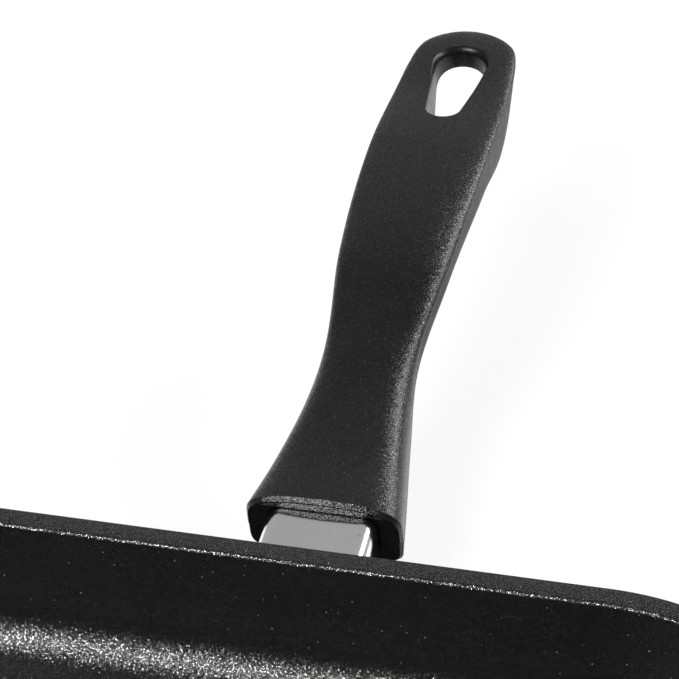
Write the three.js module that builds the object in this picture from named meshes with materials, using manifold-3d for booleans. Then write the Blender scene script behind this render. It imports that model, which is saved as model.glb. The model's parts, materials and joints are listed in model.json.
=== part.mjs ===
// Square griddle pan: a coated aluminium body with a ribbed floor and a steel base plate, and a phenolic
// handle that one long screw draws over a steel flame guard onto a stud welded to the wall.
// Millimetres, +Z up. The origin is the centre of the base, and the handle points along +Y.
import * as THREE from "three";
import { ConvexGeometry } from "three/addons/geometries/ConvexGeometry.js";
import { mergeVertices } from "three/addons/utils/BufferGeometryUtils.js";
import Module from "manifold-3d";

const wasm = await Module();
wasm.setup();

// Pan body
const panWidth = 280;
const panHeight = 38;
const rimCorner = 64;
const rimWidth = 6.3;
const rimThickness = 3;
const rimEdge = 0.5;
const wall = 3.2;
const wallDraft = 8;
const floorThickness = 5;
const floorFillet = 14;

// Griddle ribs on the floor, in line with the handle
const ribPitch = 14;
const ribHeight = 4;
const ribFootWidth = 5;
const ribTopWidth = 2.6;
const ribMargin = 4;
const ribRoot = 0.5;

// Steel plate let into the base
const plateDiameter = 190;
const plateThickness = 0.8;
const plateBond = 0.1;
const plateClearance = 0.3;
const plateHole = 5;
const plateRings = 4;
const plateRingStep = 19;

// Handle axis: where it leaves the wall and how it climbs
const mountHeight = 16.8;
const mountPitch = 10;
const seatGap = 0.25;
const slideClearance = 0.4;

// Welded stud
const studWidth = 18;
const studHeight = 10;
const studLength = 17;
const studCorner = 2;

// Flame guard
const guardWidth = 28;
const guardHeight = 13.2;
const guardCorner = 3.8;
const guardSheet = 0.8;
const guardLength = 42;

// Handle screw, washers and their bore in the handle
const screwDiameter = 6;
const screwClearance = 0.25;
const screwTipGap = 3;
const headDiameter = 10.5;
const headHeight = 4.5;
const driveWidth = 1.4;
const driveLength = 6.4;
const driveDepth = 2.2;
const flatWasherDiameter = 12.5;
const flatWasherThickness = 1.2;
const springWasherDiameter = 11;
const springWasherThickness = 1.6;
const springWasherSlit = 1.2;
const headBore = 13.6;
const mouthLength = 66;
const seatWeb = 10;

// Handle: lengths are measured from its front end
const handleReach = 24;
const handleTopWall = 3.4;
const handleLength = 179.6;
const frontBevel = 0.8;
const socketStep = 0.5;
const socketStepDepth = 0.6;
const tailRadius = 15.5;
const leanLength = 60;

// Hanging hole, wide end towards the tail
const holeLength = 34;
const holeWideRadius = 7;
const holeNarrowRadius = 4.6;
const holeTailWall = 10.6;
const holeFlare = 1.3;
const holeFlareDepth = 2;

// Where the handle swells and narrows, as distances from its front
const hoodAt = 18;
const throatAt = 37;
const neckAt = 54;
const gripAt = 80;
const bellyAt = 120;
const hipAt = 152.5;
const tabAt = 163.5;

// Height of the handle's top line above its front
const hoodRise = 2.2;
const throatRise = 6.8;
const neckRise = 12.8;
const gripRise = 23.1;
const bellyRise = 29.4;
const hipRise = 29.8;
const tabRise = 30.8;
const tailRise = 32.1;

// Half the handle's width
const frontHalf = 20.1;
const hoodHalf = 17;
const throatHalf = 14;
const neckHalf = 12.3;
const gripHalf = 14.9;
const bellyHalf = 16.3;
const hipHalf = 15.6;
const tabHalf = 15;
const tailHalf = 11.8;

// Depth of the widest line under the top line
const frontWidest = 11;
const hoodWidest = 13;
const throatWidest = 12;
const neckWidest = 5.4;
const gripWidest = 4.7;
const bellyWidest = 2.6;
const hipWidest = 2;
const tabWidest = 2.4;
const tailWidest = 2.2;

// Depth of the underside under the top line
const frontThick = 19.5;
const hoodThick = 20.5;
const throatThick = 20.3;
const neckThick = 17;
const gripThick = 15.2;
const bellyThick = 19;
const hipThick = 19.8;
const tabThick = 8;
const tailThick = 5.6;

// How boxy the top and the underside are: 2 is an ellipse, and more is squarer.
const frontShape = { crown: 3.6, square: 6 };
const hoodShape = { crown: 3.4, square: 5 };
const throatShape = { crown: 3, square: 4 };
const neckShape = { crown: 2.4, square: 3.6 };
const gripShape = { crown: 2.1, square: 3.6 };
const bellyShape = { crown: 2, square: 4.2 };
const hipShape = { crown: 2, square: 4.5 };
const tabShape = { crown: 2.2, square: 3.2 };
const tailShape = { crown: 2.4, square: 3.2 };

// The handle's form from front to tail
const stations = [
  { at: 0, rise: 0, half: frontHalf, widest: frontWidest, thick: frontThick, ...frontShape },
  { at: hoodAt, rise: hoodRise, half: hoodHalf, widest: hoodWidest, thick: hoodThick, ...hoodShape },
  { at: throatAt, rise: throatRise, half: throatHalf, widest: throatWidest, thick: throatThick, ...throatShape },
  { at: neckAt, rise: neckRise, half: neckHalf, widest: neckWidest, thick: neckThick, ...neckShape },
  { at: gripAt, rise: gripRise, half: gripHalf, widest: gripWidest, thick: gripThick, ...gripShape },
  { at: bellyAt, rise: bellyRise, half: bellyHalf, widest: bellyWidest, thick: bellyThick, ...bellyShape },
  { at: hipAt, rise: hipRise, half: hipHalf, widest: hipWidest, thick: hipThick, ...hipShape },
  { at: tabAt, rise: tabRise, half: tabHalf, widest: tabWidest, thick: tabThick, ...tabShape },
  { at: handleLength, rise: tailRise, half: tailHalf, widest: tailWidest, thick: tailThick, ...tailShape },
];

// Fineness of round stretches
const cornerSteps = 9;
const filletSteps = 6;
const sectionSteps = 9;
const handleSteps = 34;
const roundSteps = 28;
const holeSteps = 10;

const radians = THREE.MathUtils.degToRad;
const draft = radians(wallDraft);
const pitch = radians(mountPitch);

// Solids from three.js geometry, and back

function solid(geometry) {
  const bare = geometry.index ? geometry.toNonIndexed() : geometry.clone();
  bare.deleteAttribute("normal");
  bare.deleteAttribute("uv");
  const merged = mergeVertices(bare, 1e-4);
  const mesh = new wasm.Mesh({
    numProp: 3,
    vertProperties: merged.attributes.position.array,
    triVerts: new Uint32Array(merged.index.array),
  });
  return new wasm.Manifold(mesh);
}

function geometryOf(body) {
  const mesh = body.getMesh();
  const geometry = new THREE.BufferGeometry();
  geometry.setAttribute("position", new THREE.BufferAttribute(mesh.vertProperties, 3));
  geometry.setIndex(new THREE.BufferAttribute(mesh.triVerts, 1));
  geometry.computeVertexNormals();
  return geometry;
}

// A closed skin over rings of equally many points, with a flat cap at each end.
function loft(rings) {
  const count = rings[0].length;
  const points = rings.flat();
  const faces = [];
  for (let i = 0; i + 1 < rings.length; i++) {
    for (let j = 0; j < count; j++) {
      const a = i * count + j;
      const b = i * count + ((j + 1) % count);
      faces.push(a, b, b + count, a, b + count, a + count);
    }
  }
  const centre = (ring) => ring.reduce((sum, p) => sum.add(p), new THREE.Vector3()).divideScalar(count);
  const first = points.push(centre(rings[0])) - 1;
  const last = points.push(centre(rings[rings.length - 1])) - 1;
  const lastRing = (rings.length - 1) * count;
  for (let j = 0; j < count; j++) {
    const k = (j + 1) % count;
    faces.push(first, k, j, last, lastRing + j, lastRing + k);
  }
  const geometry = new THREE.BufferGeometry().setFromPoints(points);
  geometry.setIndex(faces);
  return geometry;
}

// An outline in X and Z, pushed along Y from one place to another.
function alongY(shape, from, to) {
  const geometry = new THREE.ExtrudeGeometry(shape, {
    depth: to - from,
    bevelEnabled: false,
    curveSegments: cornerSteps,
  });
  return geometry.rotateX(Math.PI / 2).translate(0, to, 0);
}

// A round bar on the Y axis.
function rodY(radius, from, to) {
  return new THREE.CylinderGeometry(radius, radius, to - from, roundSteps).translate(0, (from + to) / 2, 0);
}

function roundedBox(width, height, corner) {
  const x = width / 2;
  const y = height / 2;
  const shape = new THREE.Shape();
  shape.absarc(x - corner, y - corner, corner, 0, Math.PI / 2);
  shape.absarc(corner - x, y - corner, corner, Math.PI / 2, Math.PI);
  shape.absarc(corner - x, corner - y, corner, Math.PI, 1.5 * Math.PI);
  shape.absarc(x - corner, corner - y, corner, 1.5 * Math.PI, 2 * Math.PI);
  return shape;
}

// Pan body: rounded squares, each set in from the rim's outer edge by a little more or less

function panRing(inset, z, grow = 0) {
  const half = panWidth / 2 - inset + grow;
  const radius = rimCorner - inset + grow;
  const ring = [];
  for (let corner = 0; corner < 4; corner++) {
    const start = (corner * Math.PI) / 2;
    const towards = start + Math.PI / 4;
    const cx = Math.sign(Math.cos(towards)) * (half - radius);
    const cy = Math.sign(Math.sin(towards)) * (half - radius);
    for (let i = 0; i <= cornerSteps; i++) {
      const angle = start + ((Math.PI / 2) * i) / cornerSteps;
      ring.push(new THREE.Vector3(cx + radius * Math.cos(angle), cy + radius * Math.sin(angle), z));
    }
  }
  return ring;
}

const innerInset = (z) => rimWidth + (panHeight - z) * Math.tan(draft);
const outerInset = (z) => innerInset(z) - wall / Math.cos(draft);

// Points of the fillet from a flat at height z up to the drafted wall, as [inset, z].
function footFillet(insetAt, z, radius) {
  const centre = [insetAt(z + radius) + radius / Math.cos(draft), z + radius];
  const points = [];
  for (let i = 0; i <= filletSteps; i++) {
    const angle = 1.5 * Math.PI - ((Math.PI / 2 - draft) * i) / filletSteps;
    points.push([centre[0] + radius * Math.cos(angle), centre[1] + radius * Math.sin(angle)]);
  }
  return points;
}

const outerFoot = footFillet(outerInset, 0, floorFillet + wall);
const innerFoot = footFillet(innerInset, floorThickness, floorFillet);
const lipFoot = panHeight - rimThickness;

function panSkin() {
  const profile = [
    ...outerFoot,
    [outerInset(lipFoot), lipFoot],
    [rimEdge, lipFoot],
    [0, lipFoot + rimEdge],
    [0, panHeight - rimEdge],
    [rimEdge, panHeight],
    [rimWidth - rimEdge, panHeight],
    [innerInset(panHeight - rimEdge), panHeight - rimEdge],
    ...innerFoot.reverse(),
  ];
  return loft(profile.map(([inset, z]) => panRing(inset, z)));
}

// The space that the outside of the wall takes up, with a gap around it, to trim what is set against it.
function wallSpace() {
  const profile = [...outerFoot, [outerInset(lipFoot), lipFoot]];
  return loft(profile.map(([inset, z]) => panRing(inset, z, seatGap)));
}

// Half the flat floor, and the radius of its corners.
const floorInset = innerFoot[0][0] + ribMargin;
const ribReach = panWidth / 2 - floorInset;
const ribCornerRadius = rimCorner - floorInset;

function rib(x) {
  const past = Math.max(0, Math.abs(x) + ribFootWidth / 2 - (ribReach - ribCornerRadius));
  const reach = ribReach - ribCornerRadius + Math.sqrt(Math.max(0, ribCornerRadius ** 2 - past ** 2));
  const corners = [];
  for (const sx of [-1, 1]) {
    for (const sy of [-1, 1]) {
      const foot = [x + (sx * ribFootWidth) / 2, sy * reach];
      corners.push(new THREE.Vector3(...foot, floorThickness - ribRoot));
      corners.push(new THREE.Vector3(...foot, floorThickness));
      const crest = [x + (sx * ribTopWidth) / 2, sy * (reach - ribHeight)];
      corners.push(new THREE.Vector3(...crest, floorThickness + ribHeight));
    }
  }
  return new ConvexGeometry(corners);
}

const ribSpan = Math.floor((ribReach - ribFootWidth / 2 - ribCornerRadius / 4) / ribPitch);

function panBody() {
  let body = solid(panSkin());
  for (let i = -ribSpan; i <= ribSpan; i++) {
    body = body.add(solid(rib(i * ribPitch)));
  }
  const recess = new THREE.CylinderGeometry(
    plateDiameter / 2 + plateClearance,
    plateDiameter / 2 + plateClearance,
    2 * (plateThickness + plateBond),
    2 * roundSteps,
  );
  return geometryOf(body.subtract(solid(recess.rotateX(Math.PI / 2))));
}

function circlePoints(x, y, radius, steps) {
  return Array.from({ length: steps }, (_, i) => {
    const angle = (2 * Math.PI * i) / steps;
    return new THREE.Vector2(x + radius * Math.cos(angle), y + radius * Math.sin(angle));
  });
}

// Rings of six, twelve, eighteen and so on holes, through which the softened aluminium keys the plate.
function basePlate() {
  const shape = new THREE.Shape(circlePoints(0, 0, plateDiameter / 2, 2 * roundSteps));
  for (let ring = 1; ring <= plateRings; ring++) {
    const count = 6 * ring;
    for (let i = 0; i < count; i++) {
      const angle = (2 * Math.PI * i) / count;
      const x = ring * plateRingStep * Math.cos(angle);
      const y = ring * plateRingStep * Math.sin(angle);
      shape.holes.push(new THREE.Path(circlePoints(x, y, plateHole / 2, holeSteps)));
    }
  }
  return new THREE.ExtrudeGeometry(shape, { depth: plateThickness, bevelEnabled: false });
}

// Handle mount: a group on the outside of the wall whose +Y is the screw's axis

const mount = new THREE.Group();
mount.position.set(0, panWidth / 2 - outerInset(mountHeight), mountHeight);
mount.rotation.x = pitch;
mount.updateMatrix();
const intoMount = mount.matrix.clone().invert();
const wallInMount = solid(wallSpace().applyMatrix4(intoMount));
const behindWall = -studLength;

const boreRadius = screwDiameter / 2 + screwClearance;
const guardEnd = guardLength + guardSheet;
const socketEnd = guardEnd + seatGap;
const seat = socketEnd + seatWeb;
const flatWasherAt = seat + seatGap;
const springWasherAt = flatWasherAt + flatWasherThickness + seatGap;
const headAt = springWasherAt + springWasherThickness + seatGap;
const screwTip = screwTipGap + 2 * screwClearance;

function stud() {
  const block = solid(alongY(roundedBox(studWidth, studHeight, studCorner), behindWall, studLength));
  const thread = solid(rodY(boreRadius, screwTipGap, studLength + 1));
  return geometryOf(block.subtract(wallInMount).subtract(thread));
}

function flameGuard() {
  const outside = solid(alongY(roundedBox(guardWidth, guardHeight, guardCorner), behindWall, guardEnd));
  const inner = roundedBox(guardWidth - 2 * guardSheet, guardHeight - 2 * guardSheet, guardCorner - guardSheet);
  const inside = solid(alongY(inner, behindWall - 1, guardLength));
  const screwHole = solid(rodY(boreRadius, guardLength - 1, guardEnd + 1));
  return geometryOf(outside.subtract(inside).subtract(wallInMount).subtract(screwHole));
}

function screw() {
  const shank = solid(rodY(screwDiameter / 2, screwTip, headAt + headHeight / 2));
  const dome = [
    new THREE.Vector2(0, headAt),
    new THREE.Vector2(headDiameter / 2, headAt),
    new THREE.Vector2(headDiameter / 2, headAt + headHeight * 0.6),
    new THREE.Vector2(headDiameter * 0.4, headAt + headHeight * 0.9),
    new THREE.Vector2(headDiameter * 0.25, headAt + headHeight),
    new THREE.Vector2(0, headAt + headHeight),
  ];
  let body = shank.add(solid(new THREE.LatheGeometry(dome, roundSteps)));
  for (const turned of [0, Math.PI / 2]) {
    const slot = new THREE.BoxGeometry(driveLength, 2 * driveDepth, driveWidth);
    slot.rotateY(turned).translate(0, headAt + headHeight, 0);
    body = body.subtract(solid(slot));
  }
  return geometryOf(body);
}

function washer(diameter, thickness, from) {
  const ring = [
    new THREE.Vector2(boreRadius, from),
    new THREE.Vector2(diameter / 2, from),
    new THREE.Vector2(diameter / 2, from + thickness),
    new THREE.Vector2(boreRadius, from + thickness),
    new THREE.Vector2(boreRadius, from),
  ];
  return new THREE.LatheGeometry(ring, roundSteps);
}

function springWasher() {
  const slit = new THREE.BoxGeometry(springWasherSlit, 3 * springWasherThickness, springWasherDiameter);
  slit.rotateX(radians(20)).translate(0, springWasherAt, springWasherDiameter / 2);
  const ring = solid(washer(springWasherDiameter, springWasherThickness, springWasherAt));
  return geometryOf(ring.subtract(solid(slit)));
}

// Handle: sections along Y, each an arched half over a boxier half, in a group at its top front edge.
// The front ones lean to stand square to the screw's axis; the rest are upright.

const handleFront = panWidth / 2 + handleReach;
const alongAxis = (handleFront - mount.position.y) / Math.cos(pitch);
const guardTopAtFront = mount.position.z + alongAxis * Math.sin(pitch) + guardHeight / 2 / Math.cos(pitch);
const handleTop = guardTopAtFront + slideClearance + handleTopWall;
const frontPlane = new THREE.Vector3(0, handleFront, handleTop).applyMatrix4(intoMount).y;

// A smooth curve through one field of the stations.
function along(field) {
  const places = stations.map((station) => station.at);
  const values = stations.map((station) => station[field]);
  const curve = new THREE.CubicInterpolant(places, values, 1);
  return (y) => curve.evaluate(y)[0];
}

const rise = along("rise");
const half = along("half");
const widest = along("widest");
const thick = along("thick");
const crown = along("crown");
const square = along("square");

function section(y, inset = 0) {
  const place = Math.min(Math.max(y, 0), handleLength);
  const width = half(place) - inset;
  const arch = widest(place) - inset;
  const belly = thick(place) - widest(place) - inset;
  const lean = Math.tan(pitch) * Math.max(0, 1 - place / leanLength);
  const power = (value, to) => Math.sign(value) * Math.abs(value) ** (2 / to);
  const ring = [];
  for (let i = 0; i < 4 * sectionSteps; i++) {
    const angle = (Math.PI / 2) * (i / sectionSteps);
    const up = Math.sin(angle) >= 0;
    const shape = up ? crown(place) : square(place);
    const x = width * power(Math.cos(angle), shape);
    const depth = widest(place) - (up ? arch : belly) * power(Math.sin(angle), shape);
    ring.push(new THREE.Vector3(-x, y + depth * lean, rise(place) - depth));
  }
  return ring;
}

function handleSkin() {
  const rings = [section(0, frontBevel)];
  for (let i = 0; i <= handleSteps; i++) {
    rings.push(section(frontBevel + ((handleLength - frontBevel) * i) / handleSteps));
  }
  return loft(rings);
}

// Plan outline that rounds the tail, pushed up through the whole height.
function tailTrim() {
  const wide = Math.max(...stations.map((station) => station.half)) + 1;
  const tailCentre = handleLength - tailRadius;
  const shape = new THREE.Shape();
  shape.moveTo(-wide, tailCentre);
  shape.lineTo(-wide, -1);
  shape.lineTo(wide, -1);
  shape.lineTo(wide, tailCentre);
  shape.absarc(0, tailCentre, tailRadius, 0, Math.PI);
  const deepest = Math.max(...stations.map((station) => station.thick));
  const highest = Math.max(...stations.map((station) => station.rise));
  const options = { depth: deepest + highest + 2, bevelEnabled: false, curveSegments: roundSteps };
  return new THREE.ExtrudeGeometry(shape, options).translate(0, 0, -deepest - 1);
}

// Two round ends of different radius, joined by their common tangents. Grown, it spreads towards the tail only.
function holeOutline(grow) {
  const tailEnd = handleLength - holeTailWall - holeWideRadius;
  const nearEnd = handleLength - holeTailWall - holeLength + holeNarrowRadius;
  const lean = Math.asin((holeWideRadius - holeNarrowRadius) / (tailEnd - nearEnd));
  const shape = new THREE.Shape();
  shape.absarc(0, tailEnd + grow, holeWideRadius + grow, -lean, Math.PI + lean);
  shape.absarc(0, nearEnd + grow, holeNarrowRadius + grow, Math.PI + lean, 2 * Math.PI - lean);
  return shape;
}

function upThrough(shape, from, to) {
  const options = { depth: to - from, bevelEnabled: false, curveSegments: holeSteps };
  return new THREE.ExtrudeGeometry(shape, options).translate(0, 0, from);
}

// The flared mouth is a skin between the grown outline at the top face and the plain one below it.
function hangingHole() {
  const holeMiddle = handleLength - holeTailWall - holeLength / 2;
  const top = rise(holeMiddle) + holeFlareDepth / 4;
  const through = solid(upThrough(holeOutline(0), top - 2 * thick(holeMiddle), top + thick(holeMiddle)));
  const rings = [
    [0, top - 2 * holeFlareDepth],
    [0, top - holeFlareDepth],
    [holeFlare, top],
    [3 * holeFlare, top + 2 * holeFlareDepth],
  ].map(([grow, z]) => {
    const outline = holeOutline(grow).getPoints(holeSteps).slice(0, -1);
    return outline.map((p) => new THREE.Vector3(p.x, p.y, z));
  });
  return through.add(solid(loft(rings)));
}

// What the guard, the screw and its head need inside the handle, on the screw's axis.
function handleCore() {
  const width = guardWidth + 2 * slideClearance;
  const height = guardHeight + 2 * slideClearance;
  const corner = guardCorner + slideClearance;
  const socket = solid(alongY(roundedBox(width, height, corner), 0, socketEnd));
  const bore = solid(rodY(boreRadius, guardLength, seat + 1));
  const mouth = solid(rodY(headBore / 2, seat, seat + mouthLength));
  const lip = roundedBox(width + 2 * socketStep, height + 2 * socketStep, corner + socketStep);
  const step = solid(alongY(lip, 0, frontPlane + socketStepDepth));
  return socket.add(step).add(bore).add(mouth);
}

const handleGroup = new THREE.Group();
handleGroup.position.set(0, handleFront, handleTop);
handleGroup.updateMatrix();

function handle() {
  const intoHandle = handleGroup.matrix.clone().invert().multiply(mount.matrix);
  const core = solid(geometryOf(handleCore()).applyMatrix4(intoHandle));
  const body = solid(handleSkin()).intersect(solid(tailTrim()));
  return geometryOf(body.subtract(hangingHole()).subtract(core));
}

// Materials
const coating = new THREE.MeshStandardMaterial({ color: 0x1a1a1b, roughness: 0.5, metalness: 0.1 });
const phenolic = new THREE.MeshStandardMaterial({ color: 0x232324, roughness: 0.6, metalness: 0 });
const guardSteel = new THREE.MeshStandardMaterial({ color: 0xb4b4b6, roughness: 0.3, metalness: 1 });
const plateSteel = new THREE.MeshStandardMaterial({ color: 0x9a9a9c, roughness: 0.4, metalness: 1 });
const aluminium = new THREE.MeshStandardMaterial({ color: 0xb8babd, roughness: 0.5, metalness: 1 });
const zinc = new THREE.MeshStandardMaterial({ color: 0xa6a8ab, roughness: 0.35, metalness: 1 });

function piece(name, geometry, material) {
  const mesh = new THREE.Mesh(geometry, material);
  mesh.name = name;
  return mesh;
}

const pan = new THREE.Group();
pan.add(piece("pan_body", panBody(), coating));
pan.add(piece("base_plate", basePlate(), plateSteel));
mount.add(piece("handle_stud", stud(), aluminium));
mount.add(piece("flame_guard", flameGuard(), guardSteel));
mount.add(piece("handle_screw", screw(), zinc));
mount.add(piece("flat_washer", washer(flatWasherDiameter, flatWasherThickness, flatWasherAt), zinc));
mount.add(piece("spring_washer", springWasher(), zinc));
handleGroup.add(piece("handle", handle(), phenolic));
pan.add(mount, handleGroup);

export default pan;
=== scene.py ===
"""Looks of a square griddle pan: coated body, keyed base plate, steel flame guard and a phenolic handle."""

from __future__ import annotations

import json
import logging
import math
from dataclasses import dataclass
from enum import Enum
from typing import Callable, ClassVar, Iterable, Optional, Sequence, Union

import bmesh
import bpy
from mathutils import Matrix, Vector

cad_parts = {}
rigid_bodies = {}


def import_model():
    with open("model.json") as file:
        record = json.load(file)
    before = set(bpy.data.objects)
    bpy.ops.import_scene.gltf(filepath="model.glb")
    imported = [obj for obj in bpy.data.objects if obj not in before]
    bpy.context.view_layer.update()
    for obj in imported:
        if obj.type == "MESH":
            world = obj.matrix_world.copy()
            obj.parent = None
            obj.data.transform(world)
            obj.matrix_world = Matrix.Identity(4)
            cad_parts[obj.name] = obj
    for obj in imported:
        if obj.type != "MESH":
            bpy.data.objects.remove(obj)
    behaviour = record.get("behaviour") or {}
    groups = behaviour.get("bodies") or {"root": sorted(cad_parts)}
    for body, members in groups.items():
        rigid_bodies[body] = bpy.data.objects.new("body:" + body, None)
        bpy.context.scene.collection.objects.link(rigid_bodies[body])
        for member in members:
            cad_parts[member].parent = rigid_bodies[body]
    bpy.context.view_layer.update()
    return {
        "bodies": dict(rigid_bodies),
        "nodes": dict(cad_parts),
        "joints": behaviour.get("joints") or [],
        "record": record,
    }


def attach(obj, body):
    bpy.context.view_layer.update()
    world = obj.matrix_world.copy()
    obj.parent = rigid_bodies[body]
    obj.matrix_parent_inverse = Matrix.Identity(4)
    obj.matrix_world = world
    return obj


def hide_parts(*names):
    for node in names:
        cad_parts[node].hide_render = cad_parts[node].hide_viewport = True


log = logging.getLogger("griddle_pan")

MILLIMETRE = 0.001
BODY = "root"

# How near counts as touching, in millimetres
NEAR = 1e-3
# How often a search halves its stretch
HALVINGS = 40
# How squarely a face has to look along an axis to count as an end
FACING = 0.9
# Refraction of the coating and of the resin
REFRACTION = 1.5
# Turns a shape that was drawn flat so that it stands across the Y axis
UPRIGHT = Matrix.Rotation(math.pi / 2.0, 3, "X")

Shape = bmesh.types.BMesh
Vert = bmesh.types.BMVert
Edge = bmesh.types.BMEdge
Face = bmesh.types.BMFace
Point = Sequence[float]


class Slot(Enum):
    """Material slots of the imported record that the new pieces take."""

    COATING = "nonstick_coating"
    PLATE = "plate_steel"
    GUARD = "satin_steel"
    ZINC = "zinc_steel"
    PHENOLIC = "phenolic"


class Axis(Enum):
    """Axes of the shared frame."""

    X = (1.0, 0.0, 0.0)
    Y = (0.0, 1.0, 0.0)
    Z = (0.0, 0.0, 1.0)


class MixSocket(Enum):
    """Colour sockets of a Mix node, by number, because their names repeat."""

    FIRST = 6
    SECOND = 7
    RESULT = 2


class Nodes:
    """A material's node tree, with short calls for the nodes that the finishes use."""

    fine: ClassVar[float] = 3.0
    hair_low: ClassVar[float] = 0.25
    hair_high: ClassVar[float] = 0.75
    cloud_low: ClassVar[float] = 0.3
    cloud_high: ClassVar[float] = 0.7
    fleck_core: ClassVar[float] = 0.6
    fleck_faintest: ClassVar[float] = 0.35
    speck_edge: ClassVar[float] = 0.2

    def __init__(self, name: str) -> None:
        """Start an empty material.

        Args:
            name: The material's name.
        """
        self.material = bpy.data.materials.new(name)
        self.material.use_nodes = True
        self.tree = self.material.node_tree
        self.tree.nodes.clear()
        self.output = self.tree.nodes.new("ShaderNodeOutputMaterial")
        self.place = self.tree.nodes.new("ShaderNodeTexCoord").outputs["Object"]

    def link(self, source: bpy.types.NodeSocket, target: bpy.types.NodeSocket) -> None:
        """Join one socket to another."""
        self.tree.links.new(source, target)

    def put(self, socket: bpy.types.NodeSocket, value: Union[bpy.types.NodeSocket, float, Point]) -> None:
        """Give an input a link or a constant.

        Args:
            socket: The input to fill.
            value: Another node's output, a number or a list of numbers.
        """
        if isinstance(value, bpy.types.NodeSocket):
            self.link(value, socket)
        else:
            socket.default_value = value

    def stretch(self, scale: Point) -> bpy.types.NodeSocket:
        """Scale the object coordinates.

        Args:
            scale: One factor for each axis.

        Returns:
            The scaled coordinates.
        """
        mapping = self.tree.nodes.new("ShaderNodeMapping")
        self.link(self.place, mapping.inputs["Vector"])
        mapping.inputs["Scale"].default_value = scale
        return mapping.outputs["Vector"]

    def noise(
        self,
        size: float,
        detail: float = 2.0,
        rough: float = 0.5,
        place: Optional[bpy.types.NodeSocket] = None,
    ) -> bpy.types.NodeSocket:
        """Add a cloudy pattern.

        Args:
            size: Size of one cloud, in metres.
            detail: How many finer layers it has.
            rough: How strong the finer layers are.
            place: Coordinates to read, the object's own by default.

        Returns:
            The pattern, about 0 to 1.
        """
        node = self.tree.nodes.new("ShaderNodeTexNoise")
        self.link(place or self.place, node.inputs["Vector"])
        node.inputs["Scale"].default_value = 1.0 / size
        node.inputs["Detail"].default_value = detail
        node.inputs["Roughness"].default_value = rough
        return node.outputs["Fac"]

    def ramp(
        self,
        value: bpy.types.NodeSocket,
        low: float,
        high: float,
        start: float,
        end: float,
    ) -> bpy.types.NodeSocket:
        """Carry one range of a value to another, clamped.

        Args:
            value: What to carry over.
            low: Where the range starts.
            high: Where the range ends.
            start: Result at low.
            end: Result at high.

        Returns:
            The new value.
        """
        node = self.tree.nodes.new("ShaderNodeMapRange")
        self.link(value, node.inputs["Value"])
        node.inputs["From Min"].default_value = low
        node.inputs["From Max"].default_value = high
        node.inputs["To Min"].default_value = start
        node.inputs["To Max"].default_value = end
        return node.outputs["Result"]

    def maths(
        self,
        operation: str,
        first: Union[bpy.types.NodeSocket, float],
        second: Union[bpy.types.NodeSocket, float],
    ) -> bpy.types.NodeSocket:
        """Combine two values.

        Args:
            operation: Blender's name of the operation.
            first: A value or a socket.
            second: A value or a socket.

        Returns:
            The result.
        """
        node = self.tree.nodes.new("ShaderNodeMath")
        node.operation = operation
        self.put(node.inputs[0], first)
        self.put(node.inputs[1], second)
        return node.outputs["Value"]

    def flecks(self, spacing: float, radius: float, share: float) -> bpy.types.NodeSocket:
        """Scatter small round flecks.

        Args:
            spacing: Size of the cells that hold one fleck each, in metres.
            radius: Radius of a fleck, in metres.
            share: Share of the cells that show their fleck.

        Returns:
            A mask, 1 on a fleck.
        """
        node = self.tree.nodes.new("ShaderNodeTexVoronoi")
        self.link(self.place, node.inputs["Vector"])
        node.inputs["Scale"].default_value = 1.0 / spacing
        edge = radius / spacing
        near = self.ramp(node.outputs["Distance"], self.fleck_core * edge, edge, 1.0, 0.0)
        split = self.tree.nodes.new("ShaderNodeSeparateColor")
        self.link(node.outputs["Color"], split.inputs["Color"])
        chosen = self.maths("LESS_THAN", split.outputs["Red"], share)
        strength = self.ramp(split.outputs["Green"], 0.0, 1.0, self.fleck_faintest, 1.0)
        return self.maths("MULTIPLY", self.maths("MULTIPLY", near, chosen), strength)

    def specks(self, spacing: float, radius: float, share: float) -> bpy.types.NodeSocket:
        """Scatter small flecks with a hard edge.

        Args:
            spacing: Size of the cells that hold one speck each, in metres.
            radius: Radius of a speck, in metres.
            share: Share of the cells that show their speck.

        Returns:
            A mask, 0 or 1.
        """
        return self.maths("GREATER_THAN", self.flecks(spacing, radius, share), self.speck_edge)

    def blend(
        self,
        mask: bpy.types.NodeSocket,
        first: Union[bpy.types.NodeSocket, Point],
        second: Union[bpy.types.NodeSocket, Point],
    ) -> bpy.types.NodeSocket:
        """Mix two colours.

        Args:
            mask: 0 for the first colour, 1 for the second.
            first: A colour or a socket.
            second: A colour or a socket.

        Returns:
            The mixed colour.
        """
        node = self.tree.nodes.new("ShaderNodeMix")
        node.data_type = "RGBA"
        self.link(mask, node.inputs["Factor"])
        self.put(node.inputs[MixSocket.FIRST.value], first)
        self.put(node.inputs[MixSocket.SECOND.value], second)
        return node.outputs[MixSocket.RESULT.value]

    def clouded(self, size: float, shade: float, low: float, high: float) -> bpy.types.NodeSocket:
        """Vary a grey in soft clouds.

        Args:
            size: Size of one cloud, in metres.
            shade: The grey.
            low: Factor of the grey at one end of the clouds.
            high: Factor of the grey at the other end.

        Returns:
            The colour.
        """
        return self.blend(self.noise(size, self.fine), grey(shade * low), grey(shade * high))

    def mottled(self, size: float, low: float, high: float) -> bpy.types.NodeSocket:
        """Vary a value in small patches.

        Args:
            size: Size of one patch, in metres.
            low: The least value.
            high: The greatest value.

        Returns:
            The value.
        """
        return self.ramp(self.noise(size), self.cloud_low, self.cloud_high, low, high)

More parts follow.
